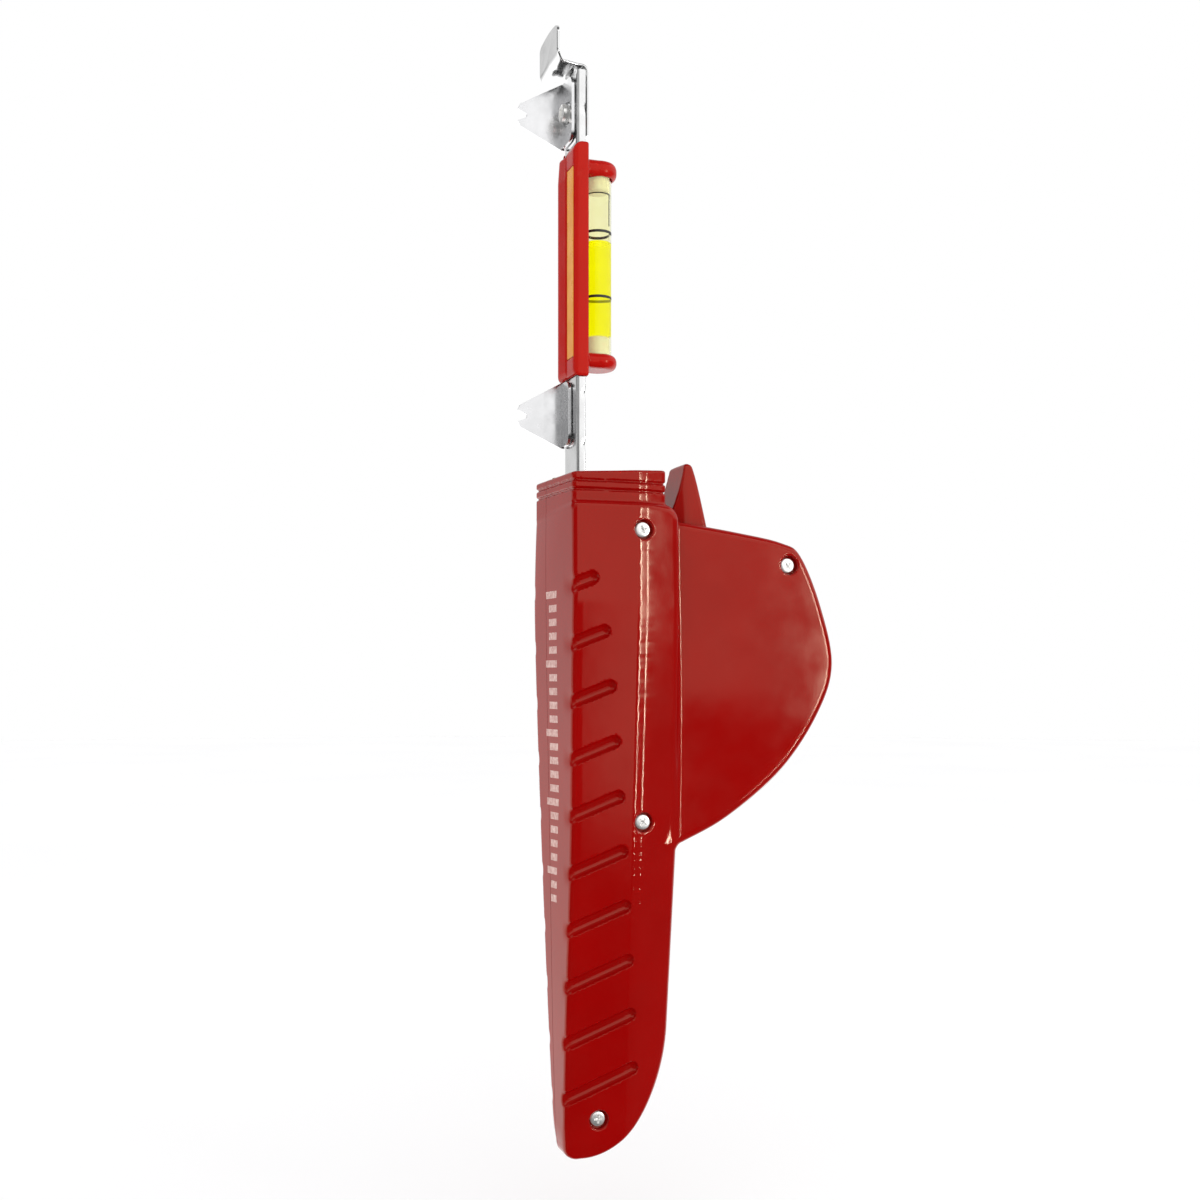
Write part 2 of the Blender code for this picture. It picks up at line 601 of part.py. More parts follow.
def level_saddle(assembly, look):
    """A sleeve round the channel, windowed in front, with two round ears behind for the vial."""
    low, high = SADDLE_LOW_Z, SADDLE_HIGH_Z
    near, far, thick = -ARM_HALF - GAP, ARM_HALF + GAP, 0.9
    front, back = ARM_FRONT - GAP, ARM_BACK + GAP
    section = [(front - thick, near - thick), (back + 0.5, near - thick), (back + 0.5, far + thick),
               (1.7, far + thick), (front - thick, 0.8)]
    saddle = assembly.piece("level_saddle", outline(section, "XY", low, high), look)
    channel = box((front, near, low - 1.0), (back, far, high + 1.0))
    combine(saddle, "DIFFERENCE", assembly.cutter("saddle_channel", channel))
    nose = [(0.0, high + 1.0), (0.0, high - 6.0)] + arc((front - thick + 2.9, high - 4.0), (2.9, 2.9), 180, 90, 4)
    nose += [(front - thick + 2.9, high + 1.0)]
    combine(saddle, "DIFFERENCE", assembly.cutter("saddle_nose", outline(nose, "XZ", near - 2.0, 0.8)))
    brow = box((0.0, 0.8, high - 2.4), (front + 0.1, far + 2.0, high + 1.0))
    combine(saddle, "DIFFERENCE", assembly.cutter("saddle_brow", brow))
    ears = []
    for base in (SADDLE_LOW_Z + 3.0, SADDLE_HIGH_Z - 9.5):
        ears.append(placed(rod(EAR_RADIUS, base, base + 3.5, 24), move(VIAL_X, 0, 0)))
        ears.append(box((back + 0.2, -EAR_RADIUS * 0.95, base), (VIAL_X, EAR_RADIUS * 0.95, base + 3.5)))
    for index, shape in enumerate(ears):
        combine(saddle, "UNION", assembly.cutter(f"saddle_ear_{index + 1}", shape))
    vial = placed(rod(VIAL_RADIUS + GAP, SADDLE_LOW_Z + 4.0, SADDLE_HIGH_Z - 7.0, 24), move(VIAL_X, 0, 0))
    combine(saddle, "DIFFERENCE", assembly.cutter("vial_seat", vial))
    window = box((0.0, -5.8, 97.4), (front + 0.1, 0.4, 155.2))
    combine(saddle, "DIFFERENCE", assembly.cutter("saddle_window", window))


def vial(assembly, look):
    low, high = SADDLE_LOW_Z + 4.3, SADDLE_HIGH_Z - 7.3
    place = move(VIAL_X, 0, 0)
    assembly.piece("vial_tube", placed(ring(3.3, VIAL_RADIUS, low, high, 24), place), look["vial"])
    for index, base in enumerate((low, high - 2.4)):
        assembly.piece(f"vial_plug_{index + 1}", placed(rod(3.0, base, base + 2.4, 20), place), look["plug"])
    liquid = placed(rod(3.0, low + 2.7, high - 2.7, 20), place)
    assembly.piece("vial_liquid", liquid, look["liquid"])


def amber_strip(assembly, look):
    low, high = (ARM_FRONT - GAP - 0.8, -5.5, 97.7), (ARM_FRONT - GAP, 0.1, 154.9)
    assembly.piece("amber_strip", box(low, high), look)


def arm_anchorage(assembly, look):
    """The block the arm is screwed to inside the grip."""
    low, high = (ARM_BACK + GAP, -9.0, 25.0), (16.5, 4.9, 51.5)
    block = assembly.piece("arm_block", box(low, high), look["steel"])
    holes = [placed(rod(1.6, -2, 5.5, 12), move(ARM_BACK, -2.0, z) @ TURN_TO_X) for z in (30.0, 46.0)]
    combine(block, "DIFFERENCE", assembly.cutter("block_holes", gathered(holes)))
    front = Matrix.Rotation(math.radians(-90), 4, "Y")
    for index, z in enumerate((30.0, 46.0)):
        screw = placed(screw_shape(2.3, 1.5, 1.2, 8.0, 12), move(ARM_FRONT - GAP, -2.0, z) @ front)
        assembly.piece(f"arm_screw_{index + 1}", screw, look["screw"])


# --- Inside the grip ---

def line_path(assembly, look):
    eyelet = turned([(1.9, 0.9), (1.9, 0.3), (1.2, 0.3), (1.2, -3.6), (0.8, -3.6), (0.8, 0.9)], 16, closed=True)
    assembly.piece("line_eyelet", placed(eyelet, move(*EYELET, TOP_BLOCK_Z + 0.2)), look["brass"])
    pin = boss_rod(7.0, 9.0, 1.5, 1.8 - grip_half(9), grip_half(9) - 1.8, 12)
    assembly.piece("roller_pin", pin, look["steel"])
    roller = placed(turned([(4.0, 4.6), (3.0, 3.4), (3.0, -3.4), (4.0, -4.6), (1.55, -4.6), (1.55, 4.6)], 20,
                           closed=True), TURN_TO_Y)
    spin = assembly.empty("roller_axis", (7.0, 0, 9.0), assembly.root)
    assembly.piece("guide_roller", roller, look["black"], spin)
    for index, (low, high) in enumerate(((-9.0, -2.4), (-1.4, 3.8))):
        assembly.piece(f"felt_pad_{index + 1}", box((19.0, low, 0.0), (27.0, high, 12.0)), look["felt"])
    assembly.piece("ink_sponge", box((5.0, -9.5, -36.0), (29.0, 3.2, -6.0)), look["sponge"])


# --- The reel ---

def ratchet_wheel():
    """A wheel of saw teeth with a plain bore."""
    points = []
    for tooth in range(RATCHET_TEETH):
        angle = 360.0 * tooth / RATCHET_TEETH
        for turn, radius in ((0.0, RATCHET_RADIUS), (1.5, RATCHET_RADIUS - 1.8)):
            at = math.radians(angle + turn)
            points.append((radius * math.cos(at), radius * math.sin(at)))
    return outline(points, "XZ", 3.7, 5.5)


def reel(assembly, look):
    spin = assembly.empty("reel_axis", (REEL_X, 0, REEL_Z), assembly.root)
    hub, axle = HUB_RADIUS, AXLE_RADIUS
    profile = [(SPOOL_RADIUS, 3.0), (SPOOL_RADIUS, 2.0), (hub, 1.6), (hub, -6.0), (SPOOL_RADIUS, -6.4),
               (SPOOL_RADIUS, -7.4), (axle + GAP, -7.4), (axle + GAP, 3.0)]
    assembly.piece("spool", placed(turned(profile, 36, closed=True), TURN_TO_Y), look["spool"], spin)
    assembly.piece("wound_line", placed(ring(hub + GAP, LINE_RADIUS, -5.4, 1.0, 32), TURN_TO_Y), look["line"], spin)
    wheel = assembly.piece("ratchet_wheel", ratchet_wheel(), look["steel"], spin)
    bore = placed(rod(axle + GAP, 3, 7, 20), TURN_TO_Y)
    combine(wheel, "DIFFERENCE", assembly.cutter("ratchet_bore", bore, spin))
    shaft = turned([(0, 15.7), (1.9, 15.7), (axle, 15.3), (axle, -9.5), (0, -9.5)], 20)
    tapped = placed(rod(1.5, 8.5, 17, 12), TURN_TO_Y)
    assembly.piece("axle", placed(shaft, TURN_TO_Y), look["steel"], spin)
    combine(bpy.data.objects["axle"], "DIFFERENCE", assembly.cutter("axle_thread", tapped, spin))
    bearing = move(REEL_X, 0, REEL_Z) @ TURN_TO_Y
    assembly.piece("near_bush", placed(ring(axle + 0.06, 4.7, -9.5, -8.0, 20), bearing), look["brass"])
    far = turned([(6.6, 12.0), (6.6, 11.3), (5.2, 11.3), (5.2, 6.9), (axle + 0.06, 6.9), (axle + 0.06, 12.0)], 20,
                 closed=True)
    assembly.piece("far_bush", placed(far, bearing), look["brass"])
    washer = turned([(4.8, 6.6), (4.8, 6.2), (axle + GAP, 5.8), (axle + GAP, 6.2)], 20, closed=True)
    assembly.piece("spring_washer", placed(washer, TURN_TO_Y), look["steel"], spin)
    return spin


def crank(assembly, spin, look):
    """The winding crank outside the far shell, hanging down at rest."""
    low, high = 12.4, 14.2
    eye = arc((0, 0), (6.0, 6.0), 0, 180, 8)
    end = arc((0, -CRANK_REACH), (4.0, 4.0), 180, 360, 8)
    arm = assembly.piece("crank_arm", outline(eye + end, "XZ", low, high), look["steel"], spin)
    holes = gathered([placed(rod(AXLE_RADIUS + GAP, 10, 18, 20), TURN_TO_Y),
                      placed(rod(1.8, 10, 18, 12), move(0, 0, -CRANK_REACH) @ TURN_TO_Y)])
    combine(arm, "DIFFERENCE", assembly.cutter("crank_holes", holes, spin))
    screw = turned([(0, 18.2), (2.6, 18.2), (3.8, 17.2), (3.8, 16.0), (1.2, 16.0), (1.2, 9.5), (0, 9.5)], 20)
    assembly.piece("crank_screw", placed(screw, TURN_TO_Y), look["screw"], spin)
    hold = assembly.empty("knob_axis", (0, 0, -CRANK_REACH), spin)
    knob = [(3.4, 27.5), (4.0, 26.3), (4.0, 21.0), (3.4, 17.0), (3.7, 15.0), (3.7, 14.6), (1.56, 14.6),
            (1.56, 25.9), (2.7, 25.9), (2.7, 27.5)]
    assembly.piece("crank_knob", placed(turned(knob, 20, closed=True), TURN_TO_Y), look["black"], hold)
    rivet = turned([(0, 27.2), (2.3, 27.2), (2.3, 26.3), (1.5, 26.3), (1.5, 12.1), (0, 12.1)], 16)
    assembly.piece("knob_rivet", placed(rivet, TURN_TO_Y), look["steel"], hold)


# --- The thumb lever ---

def thumb_lever(assembly, look):
    """A fin for the thumb above the case, and a pawl reaching down to the ratchet wheel."""
    tilt = assembly.empty("lever_axis", (LEVER_X, 0, LEVER_Z), assembly.root)
    tip = arc((0, 26.5), (1.7, 1.7), 160, 20, 4)
    fin = tip + [(4.3, 17.3), (6.0, 9.8), (4.2, 4.0), (4.2, -3.0), (2.5, -4.5), (-2.5, -4.5), (-4.2, -3.0),
                 (-4.2, 4.0), (-6.0, 9.8), (-4.3, 17.3)]
    lever = assembly.piece("lock_lever", outline(fin, "XZ", -LEVER_HALF, LEVER_HALF), look["case"], tilt)
    wheel_x, wheel_z = REEL_X - LEVER_X, REEL_Z - LEVER_Z
    tooth = wheel_x - RATCHET_RADIUS
    pawl = [(-2.2, 0), (2.2, 0), (2.2, -18.0), (tooth - 0.6, wheel_z + 3.0), (tooth - 0.6, wheel_z - 0.4),
            (tooth + 1.05, wheel_z - 0.65), (tooth + 0.9, wheel_z - 1.2), (tooth + 0.3, wheel_z - 2.5),
            (tooth - 2.8, wheel_z - 3.5), (tooth - 4.9, wheel_z - 3.0), (-2.2, -20.0)]
    combine(lever, "UNION", assembly.cutter("pawl", outline(pawl, "XZ", 3.9, 5.3), tilt))
    relief = assembly.cutter("lever_relief", box((-9, -4.5, -8), (9, 3.4, 6.5)), tilt)
    combine(lever, "DIFFERENCE", relief)
    bore = placed(rod(1.56, -12, 12, 16), TURN_TO_Y)
    combine(lever, "DIFFERENCE", assembly.cutter("lever_bore", bore, tilt))
    pin = boss_rod(LEVER_X, LEVER_Z, 1.5, -9.5, 9.5, 16)
    assembly.piece("lever_pin", pin, look["steel"])


def lever_spring(assembly, look):
    """A torsion spring wound round the lever's pin, one leg up to the lever, one down to the case."""
    turns, radius, wire = 5, 2.5, 0.3
    low, high = -3.6, 1.4
    points = [(5.0, low, 6.0)]
    count = 12 * turns
    for step in range(count + 1):
        angle = 2 * math.pi * (step / 12)
        points.append((radius * math.cos(angle), low + (high - low) * step / count, radius * math.sin(angle)))
    points.append((radius + 0.5, high, -9.0))
    curve = bpy.data.curves.new("lever_spring", "CURVE")
    curve.dimensions = "3D"
    curve.bevel_depth = wire
    curve.bevel_resolution = 2
    curve.use_fill_caps = True
    spline = curve.splines.new("POLY")
    spline.points.add(len(points) - 1)
    for point, place in zip(spline.points, points):
        point.co = (*place, 1)
    bm = bmesh.new()
    bm.from_mesh(evaluated_mesh(bpy.data.objects.new("lever_spring", curve)))
    bmesh.ops.remove_doubles(bm, verts=bm.verts, dist=0.001)
    assembly.piece("lever_spring", placed(bm, move(LEVER_X, 0, LEVER_Z)), look["steel"])


def filler_plug(assembly, look):
    """The push-in stopper of the ink filler, in the far side of the reel housing."""
    slide = assembly.empty("plug_axis", (PLUG_X, 0, PLUG_Z), assembly.root)
    profile = [(0, 12.6), (4.6, 12.6), (5.5, 12.0), (5.5, 10.3), (3.7, 10.3), (3.7, 7.6), (3.2, 7.0), (0, 7.0)]
    assembly.piece("filler_plug", placed(turned(profile, 20), TURN_TO_Y), look["rubber"], slide)


def build():
    for thing in list(bpy.data.objects):
        bpy.data.objects.remove(thing)
    assembly = Assembly()
    look = looks()
    tools = shell_tools(assembly)
    shell(assembly, tools, "near_shell", -1, near_bosses(), near_holes(), look["case"])
    shell(assembly, tools, "far_shell", 1, far_bosses(), far_holes(), look["case"])
    case_screws(assembly, look["screw"])
    channel_arm(assembly, look["steel"])
    top_hook(assembly, look["steel"])
    line_guide(assembly, "upper_line_guide", GUIDE_TIPS_Z[0], look["steel"])
    line_guide(assembly, "lower_line_guide", GUIDE_TIPS_Z[1], look["steel"])
    line_anchor(assembly, look["screw"])
    level_saddle(assembly, look["saddle"])
    vial(assembly, look)
    amber_strip(assembly, look["amber"])
    arm_anchorage(assembly, look)
    line_path(assembly, look)
    spin = reel(assembly, look)
    crank(assembly, spin, look)
    thumb_lever(assembly, look)
    lever_spring(assembly, look)
    filler_plug(assembly, look)


build()
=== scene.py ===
"""The looks of the chalk line reel: fine moulded shells, plated steel, a bubble level, light and camera.

Shapes are worked out in millimetres in the drawing's own axes (X from the grip's front to the reel,
Y from the near shell to the far one, Z up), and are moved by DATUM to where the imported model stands.
"""

import math

import bmesh
import bpy
import numpy as np
from mathutils import Matrix, Vector


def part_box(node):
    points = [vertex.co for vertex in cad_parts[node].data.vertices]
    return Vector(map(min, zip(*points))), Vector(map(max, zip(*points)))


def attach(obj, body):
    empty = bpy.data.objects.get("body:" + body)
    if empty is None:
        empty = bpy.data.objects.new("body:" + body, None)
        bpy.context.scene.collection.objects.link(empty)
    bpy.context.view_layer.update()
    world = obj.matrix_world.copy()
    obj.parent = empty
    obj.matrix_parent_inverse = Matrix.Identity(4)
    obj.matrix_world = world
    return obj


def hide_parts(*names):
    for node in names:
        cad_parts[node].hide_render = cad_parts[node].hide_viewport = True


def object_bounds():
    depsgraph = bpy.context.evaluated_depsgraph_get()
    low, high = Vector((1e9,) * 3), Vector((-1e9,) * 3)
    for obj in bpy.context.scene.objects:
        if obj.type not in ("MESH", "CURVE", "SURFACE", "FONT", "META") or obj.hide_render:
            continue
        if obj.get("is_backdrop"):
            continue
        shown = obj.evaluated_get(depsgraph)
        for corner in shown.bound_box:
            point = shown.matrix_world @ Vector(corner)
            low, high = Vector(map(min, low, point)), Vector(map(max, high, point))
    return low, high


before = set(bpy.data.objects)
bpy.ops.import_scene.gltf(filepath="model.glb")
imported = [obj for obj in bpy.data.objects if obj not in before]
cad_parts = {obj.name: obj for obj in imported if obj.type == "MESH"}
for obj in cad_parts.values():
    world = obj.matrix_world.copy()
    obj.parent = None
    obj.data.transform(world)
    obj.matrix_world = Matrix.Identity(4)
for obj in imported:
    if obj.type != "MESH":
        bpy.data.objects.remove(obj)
CAD_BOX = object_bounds()

MM = 0.001

# Places in the drawing's axes, in millimetres
ARM_FRONT, ARM_BACK, ARM_HALF, ARM_TOP_Z = 4.1, 7.0, 6.15, 184.2
GRIP_HALF, GRIP_FLARE_Z, GRIP_TAPER = 17.5, 23.0, 0.0753
GRIP_BACK, SHOULDER_Z, FOOT_Z = 34.2, 52.9, -145.4
FRONT_BULGE, FRONT_LEAN, FRONT_TWIST = 2.2, 0.000095, 0.8
SEAM_TOP, SEAM_SLOPE = 6.2, 0.0214
BLOCK_TOP_Z, BLOCK_BACK, BLOCK_HALF = 61.4, 29.7, 16.35
RIM_GROOVES_Z, RIM_DEPTH, RIM_REACH = (56.4, 59.1), 0.5, 0.42
GROOVE_COUNT, GROOVE_TOP_Z, GROOVE_PITCH = 10, 28.1, 17.2
GROOVE_SLOPE, GROOVE_RADIUS, GROOVE_DEPTH = math.radians(21), 2.2, 1.6
HOUSING_HALF = 11.0
CROWN_X = 21.5
SCREWS = ((21.6, 44.9), (23.5, -43.0), (11.5, -133.5), (73.0, 36.1))
EYELET = (1.4, 3.4)
PLUG_X, PLUG_Z = 45.0, -32.0
REEL_X, REEL_Z = 58.5, 5.0
ROLLER_X, ROLLER_Z = 7.0, 9.0
LEVER_X, LEVER_Z, LEVER_HALF = 40.2, 38.0, 8.0
WALL, HOUSING_WALL = 2.6, 2.2
RATCHET_RADIUS, CRANK_REACH = 14.0, 18.0
GUIDE_TIPS_Z, GUIDE_TIP_X, ANCHOR_Z = (172.6, 80.7), -11.1, 172.6
SADDLE_LOW_Z, SADDLE_HIGH_Z, EAR_RADIUS = 92.0, 162.5, 5.8
VIAL_X, VIAL_RADIUS = 12.9, 4.25
HOOK_HALF, HOOK_TAB_FRONT, HOOK_TOP_Z = 9.0, -2.9, 196.3

# The tick marks on the front: places and sizes in millimetres, and a mark's share of the pitch
TICK_TOP_Z, TICK_PITCH, TICK_COUNT, TICK_SHARE = 27.0, 4.2, 23, 0.52
TICK_START, TICK_LENGTH = -3.0, 6.0

# The strip lights: azimuths in degrees, sizes and places in metres
STRIP_AZIMUTHS, STRIP_DISTANCE, STRIP_POWER = (33.0, 38.2), 1.6, 4.0
STRIP_LOW, STRIP_HIGH, STRIP_WIDTH = -0.45, 0.29, 0.016

low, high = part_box("arm")
DATUM = Vector((low.x - ARM_FRONT * MM, 0.0, high.z - ARM_TOP_Z * MM))

TURN_TO_Y = Matrix.Rotation(math.radians(-90), 4, "X")
TURN_TO_X = Matrix.Rotation(math.radians(90), 4, "Y")
TURN_TO_FRONT = Matrix.Rotation(math.radians(-90), 4, "Y")

# Planes for prisms: (a, b, c) as (X, Z, Y) and as (Y, Z, X)
SIDE = Matrix(((1, 0, 0, 0), (0, 0, 1, 0), (0, 1, 0, 0), (0, 0, 0, 1)))
FRONT = Matrix(((0, 0, 1, 0), (1, 0, 0, 0), (0, 1, 0, 0), (0, 0, 0, 1)))

# Every look by its key
LOOKS = {}


# --- Small mesh tools, all in millimetres ---

def move(x, y, z):
    return Matrix.Translation((x, y, z))


def placed(bm, matrix):
    bmesh.ops.transform(bm, matrix=matrix, verts=bm.verts)
    return bm


def box(low, high):
    bm = bmesh.new()
    bmesh.ops.create_cube(bm, size=1)
    size = [b - a for a, b in zip(low, high)]
    middle = [(a + b) / 2 for a, b in zip(low, high)]
    return placed(bm, move(*middle) @ Matrix.Diagonal((*size, 1)))


def turned(profile, segments=64, closed=False):
    """A profile of (radius, height) points spun about +Z."""
    bm = bmesh.new()
    rings = []
    for radius, height in profile:
        angles = [2 * math.pi * k / segments for k in range(segments if radius else 1)]
        rings.append([bm.verts.new((radius * math.cos(a), radius * math.sin(a), height)) for a in angles])
    for upper, lower in zip(rings, rings[1:] + rings[:1] if closed else rings[1:]):
        for k in range(segments):
            n = (k + 1) % segments
            corners = [ring[i % len(ring)] for ring, i in ((upper, n), (upper, k), (lower, k), (lower, n))]
            bm.faces.new(list(dict.fromkeys(corners)))
    bmesh.ops.recalc_face_normals(bm, faces=bm.faces)
    return bm


def cylinder(radius, low, high, matrix=Matrix(), segments=24):
    """A round rod along the matrix's Z."""
    return placed(turned([(0, high), (radius, high), (radius, low), (0, low)], segments), matrix)


def prism(points, matrix, low, high):
    """An outline of (a, b) points given thickness along c, from low to high; matrix places (a, b, c)."""
    bm = bmesh.new()
    bottom = [bm.verts.new((a, b, low)) for a, b in points]
    top = [bm.verts.new((a, b, high)) for a, b in points]
    bm.faces.new(bottom)
    bm.faces.new(top)
    for k in range(len(points)):
        n = (k + 1) % len(points)
        bm.faces.new((bottom[k], bottom[n], top[n], top[k]))
    bmesh.ops.transform(bm, matrix=matrix, verts=bm.verts)
    bmesh.ops.recalc_face_normals(bm, faces=bm.faces)
    return bm


def gathered(shapes):
    whole = bmesh.new()
    for shape in shapes:
        mesh = bpy.data.meshes.new("shape")
        shape.to_mesh(mesh)
        shape.free()
        whole.from_mesh(mesh)
        bpy.data.meshes.remove(mesh)
    return whole


def new_object(name, bm):
    mesh = bpy.data.meshes.new(name)
    bm.to_mesh(mesh)
    bm.free()
    thing = bpy.data.objects.new(name, mesh)
    bpy.context.scene.collection.objects.link(thing)
    return thing


def apply_modifiers(thing):
    bpy.context.view_layer.update()
    graph = bpy.context.evaluated_depsgraph_get()
    mesh = bpy.data.meshes.new_from_object(thing.evaluated_get(graph))
    old = thing.data
    thing.modifiers.clear()
    thing.data = mesh
    bpy.data.meshes.remove(old)


def combine(thing, operation, bm, solver="EXACT"):
    """Applies a Boolean with a shape, which is used up."""
    tool = new_object("tool", bm)
    modifier = thing.modifiers.new("Boolean", "BOOLEAN")
    modifier.operation = operation
    modifier.solver = solver
    modifier.object = tool
    apply_modifiers(thing)
    mesh = tool.data
    bpy.data.objects.remove(tool)
    bpy.data.meshes.remove(mesh)


def bevelled(thing, width, segments=3, angle=30):
    modifier = thing.modifiers.new("Bevel", "BEVEL")
    modifier.width = width
    modifier.segments = segments
    modifier.limit_method = "ANGLE"
    modifier.angle_limit = math.radians(angle)
    modifier.harden_normals = False
    apply_modifiers(thing)
    thing.data.shade_smooth()
    modifier = thing.modifiers.new("Weighted", "WEIGHTED_NORMAL")
    modifier.keep_sharp = True
    apply_modifiers(thing)


def finish_piece(thing, look, *replaced, body="tool", angle=35, smooth=True):
    """Moves a millimetre mesh to its place in the frame and gives it its look, slot and body."""
    thing.data.transform(Matrix.Translation(DATUM) @ Matrix.Scale(MM, 4))
    thing.data.materials.clear()
    thing.data.materials.append(LOOKS[look].material)
    if smooth:
        thing.data.shade_smooth()
        thing.data.set_sharp_from_angle(angle=math.radians(angle))
    if replaced:
        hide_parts(*replaced)
    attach(thing, body)


# --- The moulded case, as a distance-like field that is zero on its skin ---

def smooth_max(a, b, k):
    h = np.maximum(k - np.abs(a - b), 0.0) / k
    return np.maximum(a, b) + h * h * k * 0.25


def smooth_min(a, b, k):
    return -smooth_max(-a, -b, k)


def smooth_step(t, start, end):
    u = np.clip((t - start) / (end - start), 0.0, 1.0)
    return u * u * (3 - 2 * u)


def arc(centre, radii, start, end, count):
    angles = np.radians(np.linspace(start, end, count + 1))
    return [(centre[0] + radii[0] * math.cos(a), centre[1] + radii[1] * math.sin(a)) for a in angles]


def smooth_line(points, steps):
    """Catmull-Rom curve through open points."""
    knots = [Vector(p) for p in points]
    knots = [2 * knots[0] - knots[1]] + knots + [2 * knots[-1] - knots[-2]]
    curve = []
    for index in range(1, len(knots) - 2):
        before, start, end, after = knots[index - 1:index + 3]
        for step in range(steps):
            t = step / steps
            curve.append(0.5 * (2 * start + (end - before) * t
                                + (2 * before - 5 * start + 4 * end - after) * t ** 2
                                + (3 * start - before - 3 * end + after) * t ** 3))
    curve.append(knots[-2])
    return [tuple(point) for point in curve]


def outline_distance(x, z, points):
    """Signed distance to a closed outline, negative inside."""
    best = np.full(x.shape, 1e9)
    inside = np.zeros(x.shape, bool)
    for (ax, az), (bx, bz) in zip(points, points[1:] + points[:1]):
        ex, ez = bx - ax, bz - az
        wx, wz = x - ax, z - az
        t = np.clip((wx * ex + wz * ez) / max(ex * ex + ez * ez, 1e-12), 0, 1)
        best = np.minimum(best, (wx - ex * t) ** 2 + (wz - ez * t) ** 2)
        crosses = (az > z) != (bz > z)
        if bz != az:
            inside ^= crosses & (x < ax + (z - az) * ex / ez)
    return np.where(inside, -1.0, 1.0) * np.sqrt(best)


def grip_outline():
    """Side view of the grip with its drooping rounded foot and the raised panel's rounded shoulder."""
    foot = arc((7.0, -105.0), (27.4, -FOOT_Z - 105.0), 0, -88, 28)
    toe = arc((5.2, FOOT_Z + 5.0), (5.0, 5.0), -95, -180, 10)
    front = [(-4.0, -125.0), (-FRONT_BULGE - 3.0, 0.0)]
    shoulder = arc((29.2, 47.9), (5.0, 5.0), 90, 0, 10)
    nose = arc((-FRONT_BULGE - 3.0 + 6.5, SHOULDER_Z - 3.5), (3.5, 3.5), 180, 90, 8)
    return nose + shoulder + [(35.8, -50.0)] + foot + toe + front


def housing_outline():
    """Side view of the reel housing: a lopsided egg running into the grip's back."""
    egg = smooth_line([(36.9, 48.4), (55.7, 45.9), (70.8, 43.2), (77.5, 39.2), (84.5, 23.9),
                       (88.8, 5.2), (83.9, -10.5), (71.4, -28.0), (52.6, -42.7), (35.1, -51.2)], 8)
    return [(20.0, 48.4)] + egg + [(20.0, -51.2)]


GRIP_OUTLINE = grip_outline()
HOUSING_OUTLINE = housing_outline()


def grip_half(z):
    drop = GRIP_FLARE_Z - z
    return GRIP_HALF - GRIP_TAPER * 0.5 * (drop + np.sqrt(drop * drop + 4.0))


def seam(z):
    return SEAM_TOP - SEAM_SLOPE * (BLOCK_TOP_Z - z)


def lid_z(x):
    """The block's sloping top."""
    return BLOCK_TOP_Z + 0.057 * (x + FRONT_BULGE)


def lean(z):
    """How far the front line lies back from where it starts, going down."""
    drop = np.maximum(GRIP_FLARE_Z - z, 0.0)
    return FRONT_LEAN * drop * drop


def corner_fall(z, half):
    """How much farther back the front lies at the near flank than on the seam's side."""
    return 1.8 * half / GRIP_HALF + 1.3 * np.exp(-((z + 50.0) / 52.0) ** 2)


def crown(x, z):
    """How far a flank falls away from its double ridge, to the front and to the back."""
    t = x - CROWN_X
    first, second, tight = t + 1.6, t - 1.2, 0.45
    fall = -0.035 * t + 0.0795 * (first + np.sqrt(first * first + tight * tight))
    fall = fall + 0.0255 * (second + np.sqrt(second * second + tight * tight)) - 0.055
    lip = np.clip(1.0 - (x - 1.3 * smooth_step(-z, -23.0, 50.0)) / 2.4, 0.0, 1.4)
    return fall + 0.25 * lip * lip


def groove_reach(index):
    return 7.6 + 16.3 * (index / (GROOVE_COUNT - 1)) ** 0.66


def grooves(x, z):
    """Depth of the finger grooves: round-bottomed, round-ended, rising to the back."""
    depth = np.zeros(np.broadcast(x, z).shape)
    cos, sin = math.cos(GROOVE_SLOPE), math.sin(GROOVE_SLOPE)
    for index in range(GROOVE_COUNT):
        start_z = GROOVE_TOP_Z - GROOVE_PITCH * index
        reach = (groove_reach(index) - GROOVE_RADIUS) / cos
        along = x * cos + (z - start_z) * sin
        across = -x * sin + (z - start_z) * cos
        past = np.maximum(along - reach, 0.0)
        away = np.sqrt(across * across + past * past)
        bowl = np.sqrt(np.maximum(GROOVE_RADIUS ** 2 - away * away, 0.0)) - (GROOVE_RADIUS - GROOVE_DEPTH)
        bowl = np.where(away < GROOVE_RADIUS, bowl, -(away - 0.6 * GROOVE_RADIUS))
        depth = np.maximum(depth, smooth_max(bowl, 0.0 * bowl, 0.3) * (along > -14))
    return depth


def scallops(z):
    """The grooves' ends as they run round on to the front's corners."""
    wave = np.zeros(z.shape)
    for index in range(GROOVE_COUNT):
        wave = wave + np.exp(-((z - (GROOVE_TOP_Z - GROOVE_PITCH * index)) / 2.3) ** 2)
    return wave


